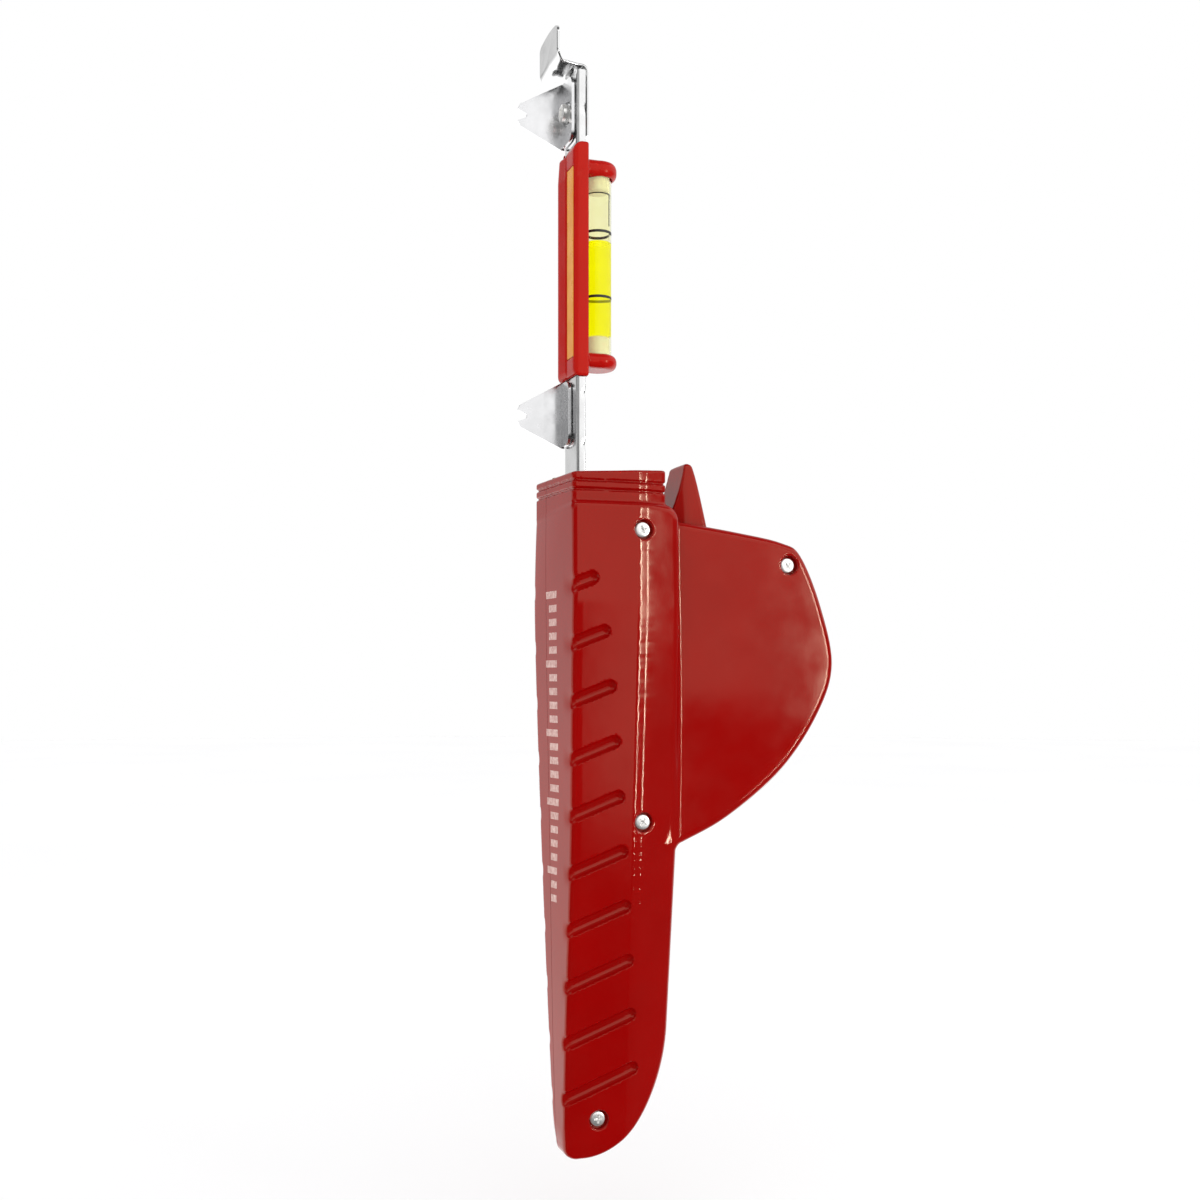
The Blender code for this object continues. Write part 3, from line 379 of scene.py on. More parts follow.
def case_field(x, y, z):
    """Negative inside the case, zero on its skin, roughly a distance in millimetres."""
    half = grip_half(z)
    side = y / half
    front = lean(z) - FRONT_BULGE - FRONT_TWIST + (FRONT_TWIST + corner_fall(z, half)) * (1.0 - side) / 2
    corner = smooth_step(-side, 0.45, 1.0)
    face = front - x + 0.55 * scallops(z) * corner
    cut = grooves(x, z) * (1.0 - 0.7 * smooth_step(-x, -6.0, 0.0) * (y > 0))
    ripple = (0.07 * np.sin(1.3 * z) + 0.06 * np.sin(2.9 * z + 1.0)) * np.exp(-((x - CROWN_X) / 2.5) ** 2)
    flank = np.abs(y) - (half - crown(x + ripple, z) - cut)
    edge = outline_distance(x, z, GRIP_OUTLINE)
    roundness = 1.6 + 1.2 * smooth_step(x, 22.0, 32.0)
    grip = smooth_max(smooth_max(flank, edge, roundness), face, 1.3)

    ring = RIM_DEPTH * sum(np.exp(-((z - middle) / RIM_REACH) ** 4) for middle in RIM_GROOVES_Z)
    lid = z - lid_z(x)
    block = smooth_max(np.abs(y) - (BLOCK_HALF - crown(x, z)) + ring, x - BLOCK_BACK + ring, 1.6)
    block = smooth_max(block, front - x + 0.325 + ring, 1.2)
    block = smooth_max(smooth_max(block, lid, 0.8), 40.0 - z, 0.8)
    body = smooth_min(grip, block + 0.5 * smooth_step(z, 50.5, 47.5), 0.5)

    bulge = HOUSING_HALF - 0.10 * ((x - 58.0) / 30.0) ** 2
    bulge = bulge - 1.6 * smooth_step(-z, -5.0, 50.0)
    housing = smooth_max(np.abs(y) - bulge, outline_distance(x, z, HOUSING_OUTLINE), 2.4)
    body = smooth_min(body, housing, 1.4)
    return smooth_max(body, -case_openings(x, y, z), 0.45)


def case_openings(x, y, z):
    """Negative inside the counterbores and the first millimetre of the holes that go through."""
    arm_slot = np.maximum(np.abs(y) - ARM_HALF - 0.45, np.abs(x - 5.95) - 2.1)
    eyelet = np.hypot(x - EYELET[0], y - EYELET[1]) - 1.6
    holes = np.maximum(np.minimum(arm_slot, eyelet), lid_z(x) - 1.2 - z)
    lever_slot = np.maximum(np.abs(y) - LEVER_HALF - 0.4, np.abs(x - 41.1) - 7.3)
    holes = np.minimum(holes, np.maximum(lever_slot, 46.3 - z))
    for screw_x, screw_z in SCREWS:
        pit = np.hypot(x - screw_x, z - screw_z) - 3.0
        holes = np.minimum(holes, np.maximum(pit, y + near_face(screw_x, screw_z) - 2.7))
    axle = np.hypot(x - REEL_X, z - REEL_Z) - 5.4
    plug = np.hypot(x - PLUG_X, z - PLUG_Z) - 5.8
    return np.minimum(holes, np.maximum(np.minimum(axle, plug), HOUSING_HALF - 1.0 - y))


def case_hollow(x, y, z):
    """Negative inside the case's hollow."""
    grip = np.maximum(np.abs(y) - (grip_half(z) - WALL), outline_distance(x, z, GRIP_OUTLINE) + WALL)
    grip = np.maximum(grip, 0.8 - x)
    block = np.maximum(np.maximum(np.abs(y) - 13.5, np.abs(x - 13.9) - 13.1), np.abs(z - 51.8) - 6.8)
    housing = np.maximum(np.abs(y) - (HOUSING_HALF - HOUSING_WALL),
                         outline_distance(x, z, HOUSING_OUTLINE) + HOUSING_WALL)
    hollow = smooth_min(smooth_min(grip, block, 1.0), housing, 1.0)
    return np.maximum(hollow, -case_bosses(x, y, z))


def case_bosses(x, y, z):
    """Negative inside the posts that the screws, the reel, the lever and the roller stand in."""
    posts = [(screw_x, screw_z, 4.2, -30.0, 30.0) for screw_x, screw_z in SCREWS]
    gaps = ((REEL_X, REEL_Z, 7.0, -8.0, 7.2), (ROLLER_X, ROLLER_Z, 3.4, -5.0, 6.0),
            (LEVER_X, LEVER_Z, 3.4, -LEVER_HALF - 0.3, LEVER_HALF + 0.3))
    for post_x, post_z, radius, near, far in gaps:
        posts += [(post_x, post_z, radius, -30.0, near), (post_x, post_z, radius, far, 30.0)]
    solid = np.full(np.broadcast(x, y, z).shape, 1e3)
    for post_x, post_z, radius, near, far in posts:
        post = np.hypot(x - post_x, z - post_z) - radius
        solid = np.minimum(solid, np.maximum(post, np.maximum(near - y, y - far)))
    return solid


def near_face(x, z):
    """Half thickness of the case where a screw stands."""
    return HOUSING_HALF if x > GRIP_BACK else float(grip_half(np.array(float(z))))


def gradient_of(field, points, reach=0.02):
    gradient = np.zeros(points.shape)
    for axis in range(3):
        step = np.zeros(3)
        step[axis] = reach
        ahead, behind = points + step, points - step
        gradient[:, axis] = (field(*ahead.T) - field(*behind.T)) / (2 * reach)
    return gradient


def drawn_on(field, points, reach=0.05):
    """Points moved on to the surface where the field is zero."""
    for _ in range(3):
        here = field(*points.T)
        gradient = np.stack([(field(*(points + reach * np.eye(3)[axis]).T) - here) / reach
                             for axis in range(3)], axis=1)
        size = np.maximum((gradient ** 2).sum(1), 0.05)
        points = points - gradient * np.clip(here / size, -0.4, 0.4)[:, None]
    return points


def unambiguous(values):
    """Clears the saddle cells, where a surface would touch itself along an edge."""
    for _ in range(4):
        sign = values < 0
        for one, two in ((0, 1), (1, 2), (0, 2)):
            near, far = [slice(0, -1)] * 3, [slice(0, -1)] * 3
            near[one], far[two] = slice(1, None), slice(1, None)
            both = [slice(0, -1)] * 3
            both[one] = both[two] = slice(1, None)
            base = (slice(0, -1),) * 3
            here, across = sign[base], sign[tuple(both)]
            side, other = sign[tuple(near)], sign[tuple(far)]
            crossed = (here == across) & (side == other) & (here != side)
            corners = (base, tuple(both), tuple(near), tuple(far))
            for corner, mark in zip(corners, (here, across, side, other)):
                values[corner][crossed & ~mark] = -1e-3
        if not crossed.any():
            break
    return values


def skin(field, low, high, pitch):
    """Surface nets over a field: one point in each cell that the surface crosses, drawn on to it."""
    axes = [np.arange(a, b + pitch, pitch) for a, b in zip(low, high)]
    shape = tuple(len(axis) for axis in axes)
    cells = tuple(n - 1 for n in shape)
    values = np.empty(shape, np.float32)
    for row in range(shape[0]):
        values[row] = field(np.full((1, shape[2]), axes[0][row]), axes[1][:, None], axes[2][None, :])
    sign = unambiguous(values) < 0
    count = np.zeros(cells, np.int8)
    for i in (0, 1):
        for j in (0, 1):
            for k in (0, 1):
                count += sign[i:i + cells[0], j:j + cells[1], k:k + cells[2]]
    active = np.argwhere((count > 0) & (count < 8))
    index = np.full(cells, -1, np.int64)
    index[tuple(active.T)] = np.arange(len(active))
    total = np.zeros((len(active), 3))
    crossings = np.zeros(len(active))
    for axis in range(3):
        for a, b in ((0, 0), (0, 1), (1, 0), (1, 1)):
            start = np.zeros(3, np.int64)
            start[(axis + 1) % 3], start[(axis + 2) % 3] = a, b
            end = start.copy()
            end[axis] = 1
            first = values[tuple((active + start).T)].astype(float)
            last = values[tuple((active + end).T)].astype(float)
            cut = (first < 0) != (last < 0)
            along = np.where(cut, first / np.where(cut, first - last, 1.0), 0.0)
            total += (active + start + (end - start) * along[:, None]) * cut[:, None]
            crossings += cut
    points = np.array(low) + total / crossings[:, None] * pitch
    faces = [crossed_faces(sign, index, cells, axis, flip) for axis in range(3) for flip in (False, True)]
    return drawn_on(field, points), np.concatenate(faces)


def crossed_faces(sign, index, cells, axis, flip):
    """One quad round each grid edge along an axis whose ends lie on either side of the surface."""
    one, two = (axis + 1) % 3, (axis + 2) % 3
    ends, nexts = [slice(None)] * 3, [slice(None)] * 3
    ends[axis] = slice(0, cells[axis])
    nexts[axis] = slice(1, cells[axis] + 1)
    here, there = sign[tuple(ends)], sign[tuple(nexts)]
    edges = np.argwhere((here & ~there) if flip else (~here & there))
    edges = edges[(edges[:, one] > 0) & (edges[:, two] > 0)
                  & (edges[:, one] < cells[one]) & (edges[:, two] < cells[two])]
    around = []
    for a, b in ((0, 0), (1, 0), (1, 1), (0, 1)):
        cell = edges.copy()
        cell[:, one] -= a
        cell[:, two] -= b
        around.append(index[tuple(cell.T)])
    quad = np.stack(around, axis=1)
    return quad if flip else quad[:, ::-1]


def mesh_of(name, parts):
    """One mesh from several (points, faces) pairs of quads."""
    points = np.concatenate([part[0] for part in parts])
    starts = np.cumsum([0] + [len(part[0]) for part in parts[:-1]])
    faces = np.concatenate([part[1] + start for part, start in zip(parts, starts)])
    mesh = bpy.data.meshes.new(name)
    mesh.vertices.add(len(points))
    mesh.vertices.foreach_set("co", points.astype(np.float32).ravel())
    mesh.loops.add(faces.size)
    mesh.loops.foreach_set("vertex_index", faces.astype(np.int32).ravel())
    mesh.polygons.add(len(faces))
    mesh.polygons.foreach_set("loop_start", np.arange(0, faces.size, 4, dtype=np.int32))
    mesh.update(calc_edges=True)
    return mesh


def moulded(name, field, low, high, pitch, hollow=None, hollow_pitch=1.6):
    """A moulded object from a field, with a hollow where one is asked for."""
    parts = [skin(field, low, high, pitch)]
    if hollow is not None:
        points, faces = skin(hollow, low, high, hollow_pitch)
        parts.append((points, faces[:, ::-1]))
    thing = bpy.data.objects.new(name, mesh_of(name, parts))
    bpy.context.scene.collection.objects.link(thing)
    return thing


def read(collection, attribute, width, kind=np.float32):
    values = np.empty(len(collection) * width, kind)
    collection.foreach_get(attribute, values)
    return values.reshape(-1, width) if width > 1 else values


def skin_normals(thing, field, angle):
    """Normals straight from the field on the moulded skin, and by angle everywhere else."""
    mesh = thing.data
    mesh.shade_smooth()
    mesh.set_sharp_from_angle(angle=math.radians(angle))
    points = read(mesh.vertices, "co", 3).astype(float)
    gradient = gradient_of(field, points)
    gradient /= np.maximum(np.linalg.norm(gradient, axis=1), 1e-9)[:, None]
    on_skin = np.abs(field(*points.T)) < 0.02
    loops = read(mesh.loops, "vertex_index", 1, np.int32)
    totals = read(mesh.polygons, "loop_total", 1, np.int32)
    face_of = np.repeat(read(mesh.polygons, "normal", 3), totals, axis=0)
    wanted = gradient[loops]
    good = on_skin[loops] & ((wanted * face_of).sum(1) > 0.55)
    wanted[~good] = 0.0
    mesh.normals_split_custom_set(wanted.tolist())


# --- Looks ---

def linear(*srgb):
    """An sRGB colour out of 255 as linear light."""
    return tuple(((c / 255 + 0.055) / 1.055) ** 2.4 if c > 10.31 else c / 255 / 12.92 for c in srgb)


class Nodes:
    """A node tree being filled; an input may be a value or another node's output."""

    def __init__(self, tree):
        self.tree = tree

    def put(self, value, socket):
        if isinstance(value, bpy.types.NodeSocket):
            self.tree.links.new(value, socket)
        else:
            socket.default_value = value

    def node(self, kind, inputs=(), **settings):
        made = self.tree.nodes.new(kind)
        for key, value in settings.items():
            setattr(made, key, value)
        for key, value in dict(inputs).items():
            self.put(value, made.inputs[key])
        return made

    def math(self, operation, *values):
        return self.node("ShaderNodeMath", dict(enumerate(values)), operation=operation).outputs[0]

    def blend(self, factor, first, second):
        """A number between two others."""
        inputs = {"Factor": factor, 2: first, 3: second}
        return self.node("ShaderNodeMix", inputs, data_type="FLOAT").outputs[0]

    def mixed(self, factor, first, second):
        """A colour between two others."""
        inputs = {"Factor": factor, 6: first, 7: second}
        return self.node("ShaderNodeMix", inputs, data_type="RGBA").outputs[2]


class Look(Nodes):
    """A procedural material: one Principled shader and the nodes that vary it."""

    def __init__(self, name, colour, roughness, metallic=0.0, **sockets):
        self.material = bpy.data.materials.new(name)
        self.material.use_nodes = True
        super().__init__(self.material.node_tree)
        self.shader = self.tree.nodes["Principled BSDF"]
        self.base = (*colour, 1)
        self.material.diffuse_color = self.base
        self.set(Base_Color=self.base, Roughness=roughness, Metallic=metallic, **sockets)
        self.place = self.node("ShaderNodeTexCoord").outputs["Object"]

    def set(self, **sockets):
        """Puts values or outputs on the shader's sockets, spaces in their names written as _."""
        for socket, value in sockets.items():
            self.put(value, self.shader.inputs[socket.replace("_", " ")])

    def noise(self, scale, detail=3.0, stretch=(1, 1, 1)):
        """Noise with features of about 1 / scale metres."""
        mapped = self.node("ShaderNodeMapping", {"Vector": self.place, "Scale": stretch})
        return self.node("ShaderNodeTexNoise", {
            "Vector": mapped.outputs["Vector"], "Scale": scale, "Detail": detail}).outputs["Fac"]

    def spread(self, value, low, high):
        limits = {"From Min": 0.3, "From Max": 0.7, "To Min": low, "To Max": high}
        return self.node("ShaderNodeMapRange", {"Value": value, **limits}).outputs["Result"]

    def varied_colour(self, scale, other, amount=1.0, **noise):
        """The base colour drifting to another one in soft patches."""
        factor = self.spread(self.noise(scale, **noise), 0.0, amount)
        self.colour = self.mixed(factor, self.base, (*other, 1))
        self.set(Base_Color=self.colour)
        return self

    def varied_roughness(self, scale, low, high, **noise):
        self.set(Roughness=self.spread(self.noise(scale, **noise), low, high))
        return self

    def bumps(self, *layers):
        """Bump layers of (height source, depth in millimetres)."""
        last = None
        for height, depth in layers:
            bump = self.node("ShaderNodeBump", {"Height": height, "Distance": depth * MM, "Strength": 1.0})
            if last is not None:
                self.put(last, bump.inputs["Normal"])
            last = bump.outputs["Normal"]
        self.set(Normal=last)
        return self


def moulded_red(name, colour, deep, roughness=0.09, specular=0.42):
    """Glossy injection-moulded plastic: slight orange peel, faint flow marks, a few fine scuffs."""
    look = Look(name, colour, roughness, IOR=1.5, Specular_IOR_Level=specular)
    look.shader.inputs["Specular Tint"].default_value = (1.0, 0.85, 0.62, 1)
    look.varied_colour(45, deep, 0.55)
    look.varied_roughness(120, roughness * 0.8, roughness * 1.35)
    scuffs = look.noise(900, 4.0, (1.0, 1.0, 0.12))
    look.bumps((look.noise(170, 1.0), 0.014), (look.noise(700, 2.0), 0.0012), (scuffs, 0.0008))
    return look


def front_marks(look):
    """Pale printed tick marks down the front of the grip, every fifth one longer."""
    def between(value, low, high):
        above = look.math("GREATER_THAN", value, low)
        return look.math("MULTIPLY", above, look.math("LESS_THAN", value, high))

    apart = look.node("ShaderNodeSeparateXYZ", {"Vector": look.place})
    x, y, z = (apart.outputs[axis] for axis in ("X", "Y", "Z"))
    down = look.math("DIVIDE", look.math("SUBTRACT", DATUM.z + TICK_TOP_Z * MM, z), TICK_PITCH * MM)
    number = look.math("FLOOR", down)
    bar = look.math("LESS_THAN", look.math("FRACT", down), TICK_SHARE)
    fifth = look.math("LESS_THAN", look.math("MODULO", number, 5.0), 0.5)
    reach = look.math("MULTIPLY_ADD", fifth, 2.4 * MM, (TICK_START + TICK_LENGTH) * MM)
    inside = between(y, TICK_START * MM, reach)
    span = between(down, 0.0, float(TICK_COUNT))
    front = look.math("LESS_THAN", x, DATUM.x - 0.6 * MM)
    mask = look.math("MULTIPLY", look.math("MULTIPLY", bar, inside), look.math("MULTIPLY", span, front))
    mask = look.math("MULTIPLY", mask, look.spread(look.noise(900, 3.0), 0.35, 0.95))
    look.colour = look.mixed(mask, look.colour, (*linear(224, 190, 182), 1))
    look.set(Base_Color=look.colour)
    return look


def plated_steel(name, shade, roughness=0.16):
    """Bright zinc-plated sheet: faint rolling marks along its length and a soft spangle."""
    look = Look(name, shade, roughness, 1.0)
    look.varied_colour(160, tuple(c * 0.86 for c in shade), 0.8)
    grain = look.noise(2600, 3.0, (1.0, 1.0, 0.03))
    look.varied_roughness(300, roughness * 0.75, roughness * 1.5)
    look.bumps((look.noise(220, 2.0), 0.004), (grain, 0.0004))
    return look


def plain_look(key, name, colour, roughness, drift, gloss, bumps=(), **sockets):
    """A look whose colour drifts to another one and whose gloss varies, with fine bumps where given."""
    look = LOOKS[key] = Look(name, colour, roughness, **sockets)
    look.varied_colour(*drift).varied_roughness(*gloss)
    if bumps:
        *noise, depth = bumps
        look.bumps((look.noise(*noise), depth))


# Painted glow: emission on a part that is no lamp, so that it looks brighter than the lamps make it
def painted_glow(colour, strength):
    return {"Emission_Color": (*colour, 1), "Emission_Strength": strength}


def make_looks():
    LOOKS["case"] = front_marks(moulded_red("case_plastic", (0.285, 0.0010, 0.0010), (0.240, 0.0006, 0.0006)))
    LOOKS["saddle"] = moulded_red("saddle_plastic", linear(180, 14, 9), linear(165, 8, 5), 0.2, 0.25)
    LOOKS["steel"] = plated_steel("plated_steel", (0.88, 0.88, 0.88))
    LOOKS["blade"] = plated_steel("blade_steel", (0.84, 0.84, 0.85), 0.2)
    LOOKS["screw"] = plated_steel("screw_steel", (0.90, 0.89, 0.87), 0.3)
    # Painted brightness: the screw heads glow faintly so they look like bright plating
    LOOKS["screw"].set(**painted_glow((0.9, 0.9, 0.88), 0.18))
    plain_look("brass", "brass", (0.62, 0.42, 0.16), 0.28, (300, (0.50, 0.31, 0.10)), (500, 0.2, 0.4),
               metallic=1.0)
    plain_look("black", "black_plastic", (0.018, 0.018, 0.019), 0.38, (200, (0.030, 0.029, 0.028)),
               (400, 0.3, 0.5), (1500, 2.0, 0.006))
    plain_look("spool", "spool_plastic", (0.045, 0.045, 0.05), 0.42, (150, (0.065, 0.064, 0.066)),
               (400, 0.35, 0.55), (1200, 2.0, 0.006))
    plain_look("rubber", "rubber", (0.016, 0.016, 0.016), 0.62, (400, (0.035, 0.034, 0.032)),
               (500, 0.5, 0.75), (2200, 3.0, 0.01))
    plain_look("vial", "vial_acrylic", (0.95, 0.94, 0.70), 0.03, (200, (0.94, 0.93, 0.66)), (400, 0.02, 0.05),
               IOR=1.33, Transmission_Weight=1.0)
    # Painted glow: the liquid emits a little yellow light so it looks brighter than the lamps make it
    plain_look("liquid", "vial_liquid", linear(252, 250, 6), 0.05, (180, linear(246, 242, 4)),
               (300, 0.03, 0.07), IOR=1.15, Transmission_Weight=0.9, **painted_glow(linear(248, 248, 0), 0.1))
    # Painted glow: the white stoppers emit a little light so they look bright through the tinted tube
    plain_look("plug", "white_plug", linear(246, 243, 228), 0.4, (300, linear(232, 227, 204)),
               (400, 0.3, 0.5), (1500, 2.0, 0.004), **painted_glow(linear(246, 243, 228), 0.3))
    plain_look("amber", "amber_strip", linear(230, 158, 62), 0.3, (140, linear(216, 138, 44)),
               (300, 0.24, 0.4), (900, 2.0, 0.004), Specular_IOR_Level=0.25)
    plain_look("line", "braided_line", linear(226, 222, 204), 0.85, (1800, linear(150, 160, 190)),
               (2000, 0.75, 0.95), (4200, 2.0, (1, 0.4, 1), 0.12))
    plain_look("felt", "felt", linear(178, 172, 160), 0.95, (900, linear(140, 150, 178)), (2500, 0.88, 1.0),
               (3800, 5.0, 0.25), Sheen_Weight=0.4)
    plain_look("sponge", "ink_sponge", linear(60, 78, 150), 0.9, (700, linear(34, 44, 104)), (1800, 0.8, 1.0),
               (1500, 4.0, 0.5))


# --- Camera, floor and light ---

def make_camera():
    lens = bpy.data.cameras.new("camera")
    lens.lens = 42.4
    lens.sensor_width = 36.0
    lens.shift_y = 0.0667
    lens.clip_start, lens.clip_end = 0.02, 50.0
    camera = bpy.data.objects.new("camera", lens)
    camera.location = DATUM + Vector((-131.4, -409.6, 0.0)) * MM
    camera.rotation_euler = (math.radians(90), 0, math.radians(-19.5))
    bpy.context.scene.collection.objects.link(camera)
    bpy.context.scene.camera = camera


def strip_light(name, azimuth):
    """A tall softbox facing the part; azimuth 0 is straight in front of the near side, + to the right."""
    data = bpy.data.lights.new(name, "AREA")
    data.shape = "RECTANGLE"
    data.size, data.size_y = STRIP_WIDTH, STRIP_HIGH - STRIP_LOW
    data.energy = STRIP_POWER
    lamp = bpy.data.objects.new(name, data)
    turn = math.radians(azimuth)
    aim = DATUM + Vector((20 * MM, 0, (STRIP_LOW + STRIP_HIGH) / 2))
    away = Vector((math.sin(turn), -math.cos(turn), 0)) * STRIP_DISTANCE
    lamp.location = aim + away
    lamp.rotation_euler = (-away).to_track_quat("-Z", "Y").to_euler()
    bpy.context.scene.collection.objects.link(lamp)
    lamp.visible_camera = False


def make_world():
    """Plain white to the eye, even soft light, and a studio's light and dark walls in reflections."""
    world = bpy.data.worlds.new("studio")
    world.use_nodes = True
    bpy.context.scene.world = world
    studio = Nodes(world.node_tree)
    studio.tree.nodes.clear()
    node, blend = studio.node, studio.blend

    def ramp(value, start, end):
        return node("ShaderNodeMapRange", {"Value": value, "From Min": start, "From Max": end},
                    interpolation_type="SMOOTHSTEP").outputs["Result"]

    def both(first, second):
        return studio.math("MULTIPLY", first, second)

    way = node("ShaderNodeTexCoord").outputs["Generated"]
    apart = node("ShaderNodeSeparateXYZ", {"Vector": way})
    x, y, z = (apart.outputs[axis] for axis in ("X", "Y", "Z"))
    above = blend(ramp(x, 0.34, 0.38), ramp(z, -0.28, -0.20), ramp(z, -0.09, -0.04))
    front = blend(above, 0.01, 1.0)
    front = blend(ramp(x, 0.34, 0.64), front, 0.10)
    front = blend(both(ramp(x, 0.268, 0.248), ramp(z, 0.02, -0.05)), front, 0.02)
    front = blend(ramp(z, 0.14, 0.20), front, 1.1)
    left = blend(ramp(z, 0.14, 0.17), 0.04, 0.42)
    front = blend(ramp(x, -0.12, -0.30), front, left)
    front = blend(ramp(z, 0.50, 0.75), front, 0.10)
    front = blend(both(ramp(z, 0.46, 0.50), ramp(z, 0.62, 0.58)), front, 1.6)
    behind = blend(ramp(z, -0.3, 0.2), 1.5, 0.7)
    behind = blend(both(ramp(x, -0.45, -0.60), ramp(z, 0.12, 0.24)), behind, 0.06)
    mirror = blend(ramp(y, -0.1, 0.25), front, behind)
    fill = blend(ramp(z, -0.8, 0.9), 0.80, 1.15)
    path = node("ShaderNodeLightPath").outputs
    tone = blend(path["Is Glossy Ray"], fill, mirror)
    tone = blend(studio.math("MAXIMUM", path["Is Camera Ray"], path["Is Transmission Ray"]), tone, 1.0)
    background = node("ShaderNodeBackground", {"Color": (1, 1, 1, 1), "Strength": tone})
    output = node("ShaderNodeOutputWorld", {"Surface": background.outputs["Background"]})
    output.is_active_output = True


def make_floor():
    bm = bmesh.new()
    bmesh.ops.create_circle(bm, cap_ends=True, segments=96, radius=4.0)
    bmesh.ops.translate(bm, vec=(0, 0, CAD_BOX[0].z - 0.030), verts=bm.verts)
    floor = new_object("floor", bm)
    look = Look("floor_paper", (0.93, 0.93, 0.93), 0.9)
    look.varied_colour(3, (0.91, 0.91, 0.915))
    floor.data.materials.append(look.material)
    floor.visible_glossy = False
    floor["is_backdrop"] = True


# --- The case ---

def rod(x, z, radius, low, high, segments=32):
    """A round rod along Y."""
    return cylinder(radius, low, high, move(x, 0, z) @ TURN_TO_Y, segments)


def half_space(side):
    """A block covering one side of the slanting joint between the shells."""
    top, bottom, gap = 80.0, -160.0, 0.09
    edge = [(seam(top) + side * gap, top), (seam(bottom) + side * gap, bottom)]
    return prism(edge + [(side * 40.0, bottom), (side * 40.0, top)], FRONT, -20, 100)


def bearing_seats(side):
    """The blind and through holes inside one shell, as (x, z, radius, low, high)."""
    grip = float(grip_half(np.array(ROLLER_Z)))
    if side < 0:
        seats = [(x, z, 1.6, 2.0 - near_face(x, z), seam(z) + 2) for x, z in SCREWS]
        return seats + [(REEL_X, REEL_Z, 5.0, 1.2 - HOUSING_HALF, -4.0),
                        (LEVER_X, LEVER_Z, 1.8, 1.2 - HOUSING_HALF, -4.0),
                        (ROLLER_X, ROLLER_Z, 1.8, 1.5 - grip, 0.0)]
    seats = [(x, z, 1.6, seam(z) - 3, near_face(x, z) - 1.3) for x, z in SCREWS]
    return seats + [(REEL_X, REEL_Z, 5.4, 3.0, HOUSING_HALF + 3),
                    (PLUG_X, PLUG_Z, 4.0, 3.0, HOUSING_HALF + 3),
                    (LEVER_X, LEVER_Z, 1.8, 4.0, HOUSING_HALF - 1.2),
                    (ROLLER_X, ROLLER_Z, 1.8, 0.0, grip - 1.5)]


def make_case():
    pitch = 0.5
    whole = moulded("whole_case", case_field, (-4, -19, -148), (90, 19, 66), pitch, case_hollow)
    combine(whole, "DIFFERENCE", box((3.9, -ARM_HALF - 0.4, 50), (8.0, ARM_HALF + 0.4, 70)), "MANIFOLD")
    window = LEVER_HALF + 0.35
    combine(whole, "DIFFERENCE", box((33.85, -window, 40), (48.35, window, 60)), "MANIFOLD")
    combine(whole, "DIFFERENCE", cylinder(1.55, 50, 70, move(*EYELET, 0), 32), "MANIFOLD")
    for name, side, node in (("near_case", -1, "near_shell"), ("far_case", 1, "far_shell")):
        half = bpy.data.objects.new(name, whole.data.copy())
        bpy.context.scene.collection.objects.link(half)
        combine(half, "INTERSECT", half_space(side), "MANIFOLD")
        for x, z, radius, start, end in bearing_seats(side):
            combine(half, "DIFFERENCE", rod(x, z, radius, start, end), "MANIFOLD")
        skin_normals(half, case_field, 40)
        finish_piece(half, "case", node, smooth=False)
    mesh = whole.data
    bpy.data.objects.remove(whole)
    bpy.data.meshes.remove(mesh)


# --- Screws ---

def cross_recess(size, depth, matrix):
    """A cross-head recess below the matrix's z = 0: two tapering bars and a round middle."""
    bars = []
    for turn in (0, 90):
        bar = box((-size, -size * 0.24, -depth), (size, size * 0.24, 1.0))
        for vert in bar.verts:
            if vert.co.z < 0:
                vert.co.x *= 0.55
                vert.co.y *= 0.75
        bars.append(placed(bar, matrix @ Matrix.Rotation(math.radians(turn), 4, "Z")))
    middle = turned([(0, 1.0), (size * 0.46, 1.0), (size * 0.36, -depth), (0, -depth - size * 0.3)], 16)
    return bars + [placed(middle, matrix)]


def pan_screw(name, head, high, shank, length, matrix, turn):
    """A pan-head screw, its seat at the matrix's z = 0, with a cross in its head and a threaded shank."""
    dome = [(head * math.sin(a), high * 0.8 + high * 0.2 * math.cos(a))
            for a in np.radians(np.linspace(0, 78, 9))]
    dome += [(head, high * 0.70), (head, high * 0.10), (head * 0.97, 0.0)]
    thread, z, step = [(shank, 0.0), (shank, -0.8)], -0.8, 0.8
    while z - step > -length + 0.6:
        thread += [(shank, z - step * 0.15), (shank * 0.82, z - step * 0.4), (shank * 0.82, z - step * 0.7),
                   (shank, z - step * 0.95)]
        z -= step
    thread += [(shank * 0.82, -length + 0.3), (shank * 0.55, -length), (0, -length)]
    thing = new_object(name, turned(dome + thread, 40))
    place = matrix @ Matrix.Rotation(turn, 4, "Z")
    thing.data.transform(place)
    for tool in cross_recess(head * 0.80, high * 0.75, place @ move(0, 0, high)):
        combine(thing, "DIFFERENCE", tool)
    return thing


def make_case_screws():
    for index, (x, z) in enumerate(SCREWS):
        face = near_face(x, z)
        seat = move(x, 2.45 - face, z) @ Matrix.Rotation(math.radians(90), 4, "X")
        name = f"grip_screw_{index + 1}"
        screw = pan_screw(name, 2.2, 1.15, 1.2, face - 2.0, seat, 0.35 + 0.6 * index)
        finish_piece(screw, "screw", f"case_screw_{index + 1}")


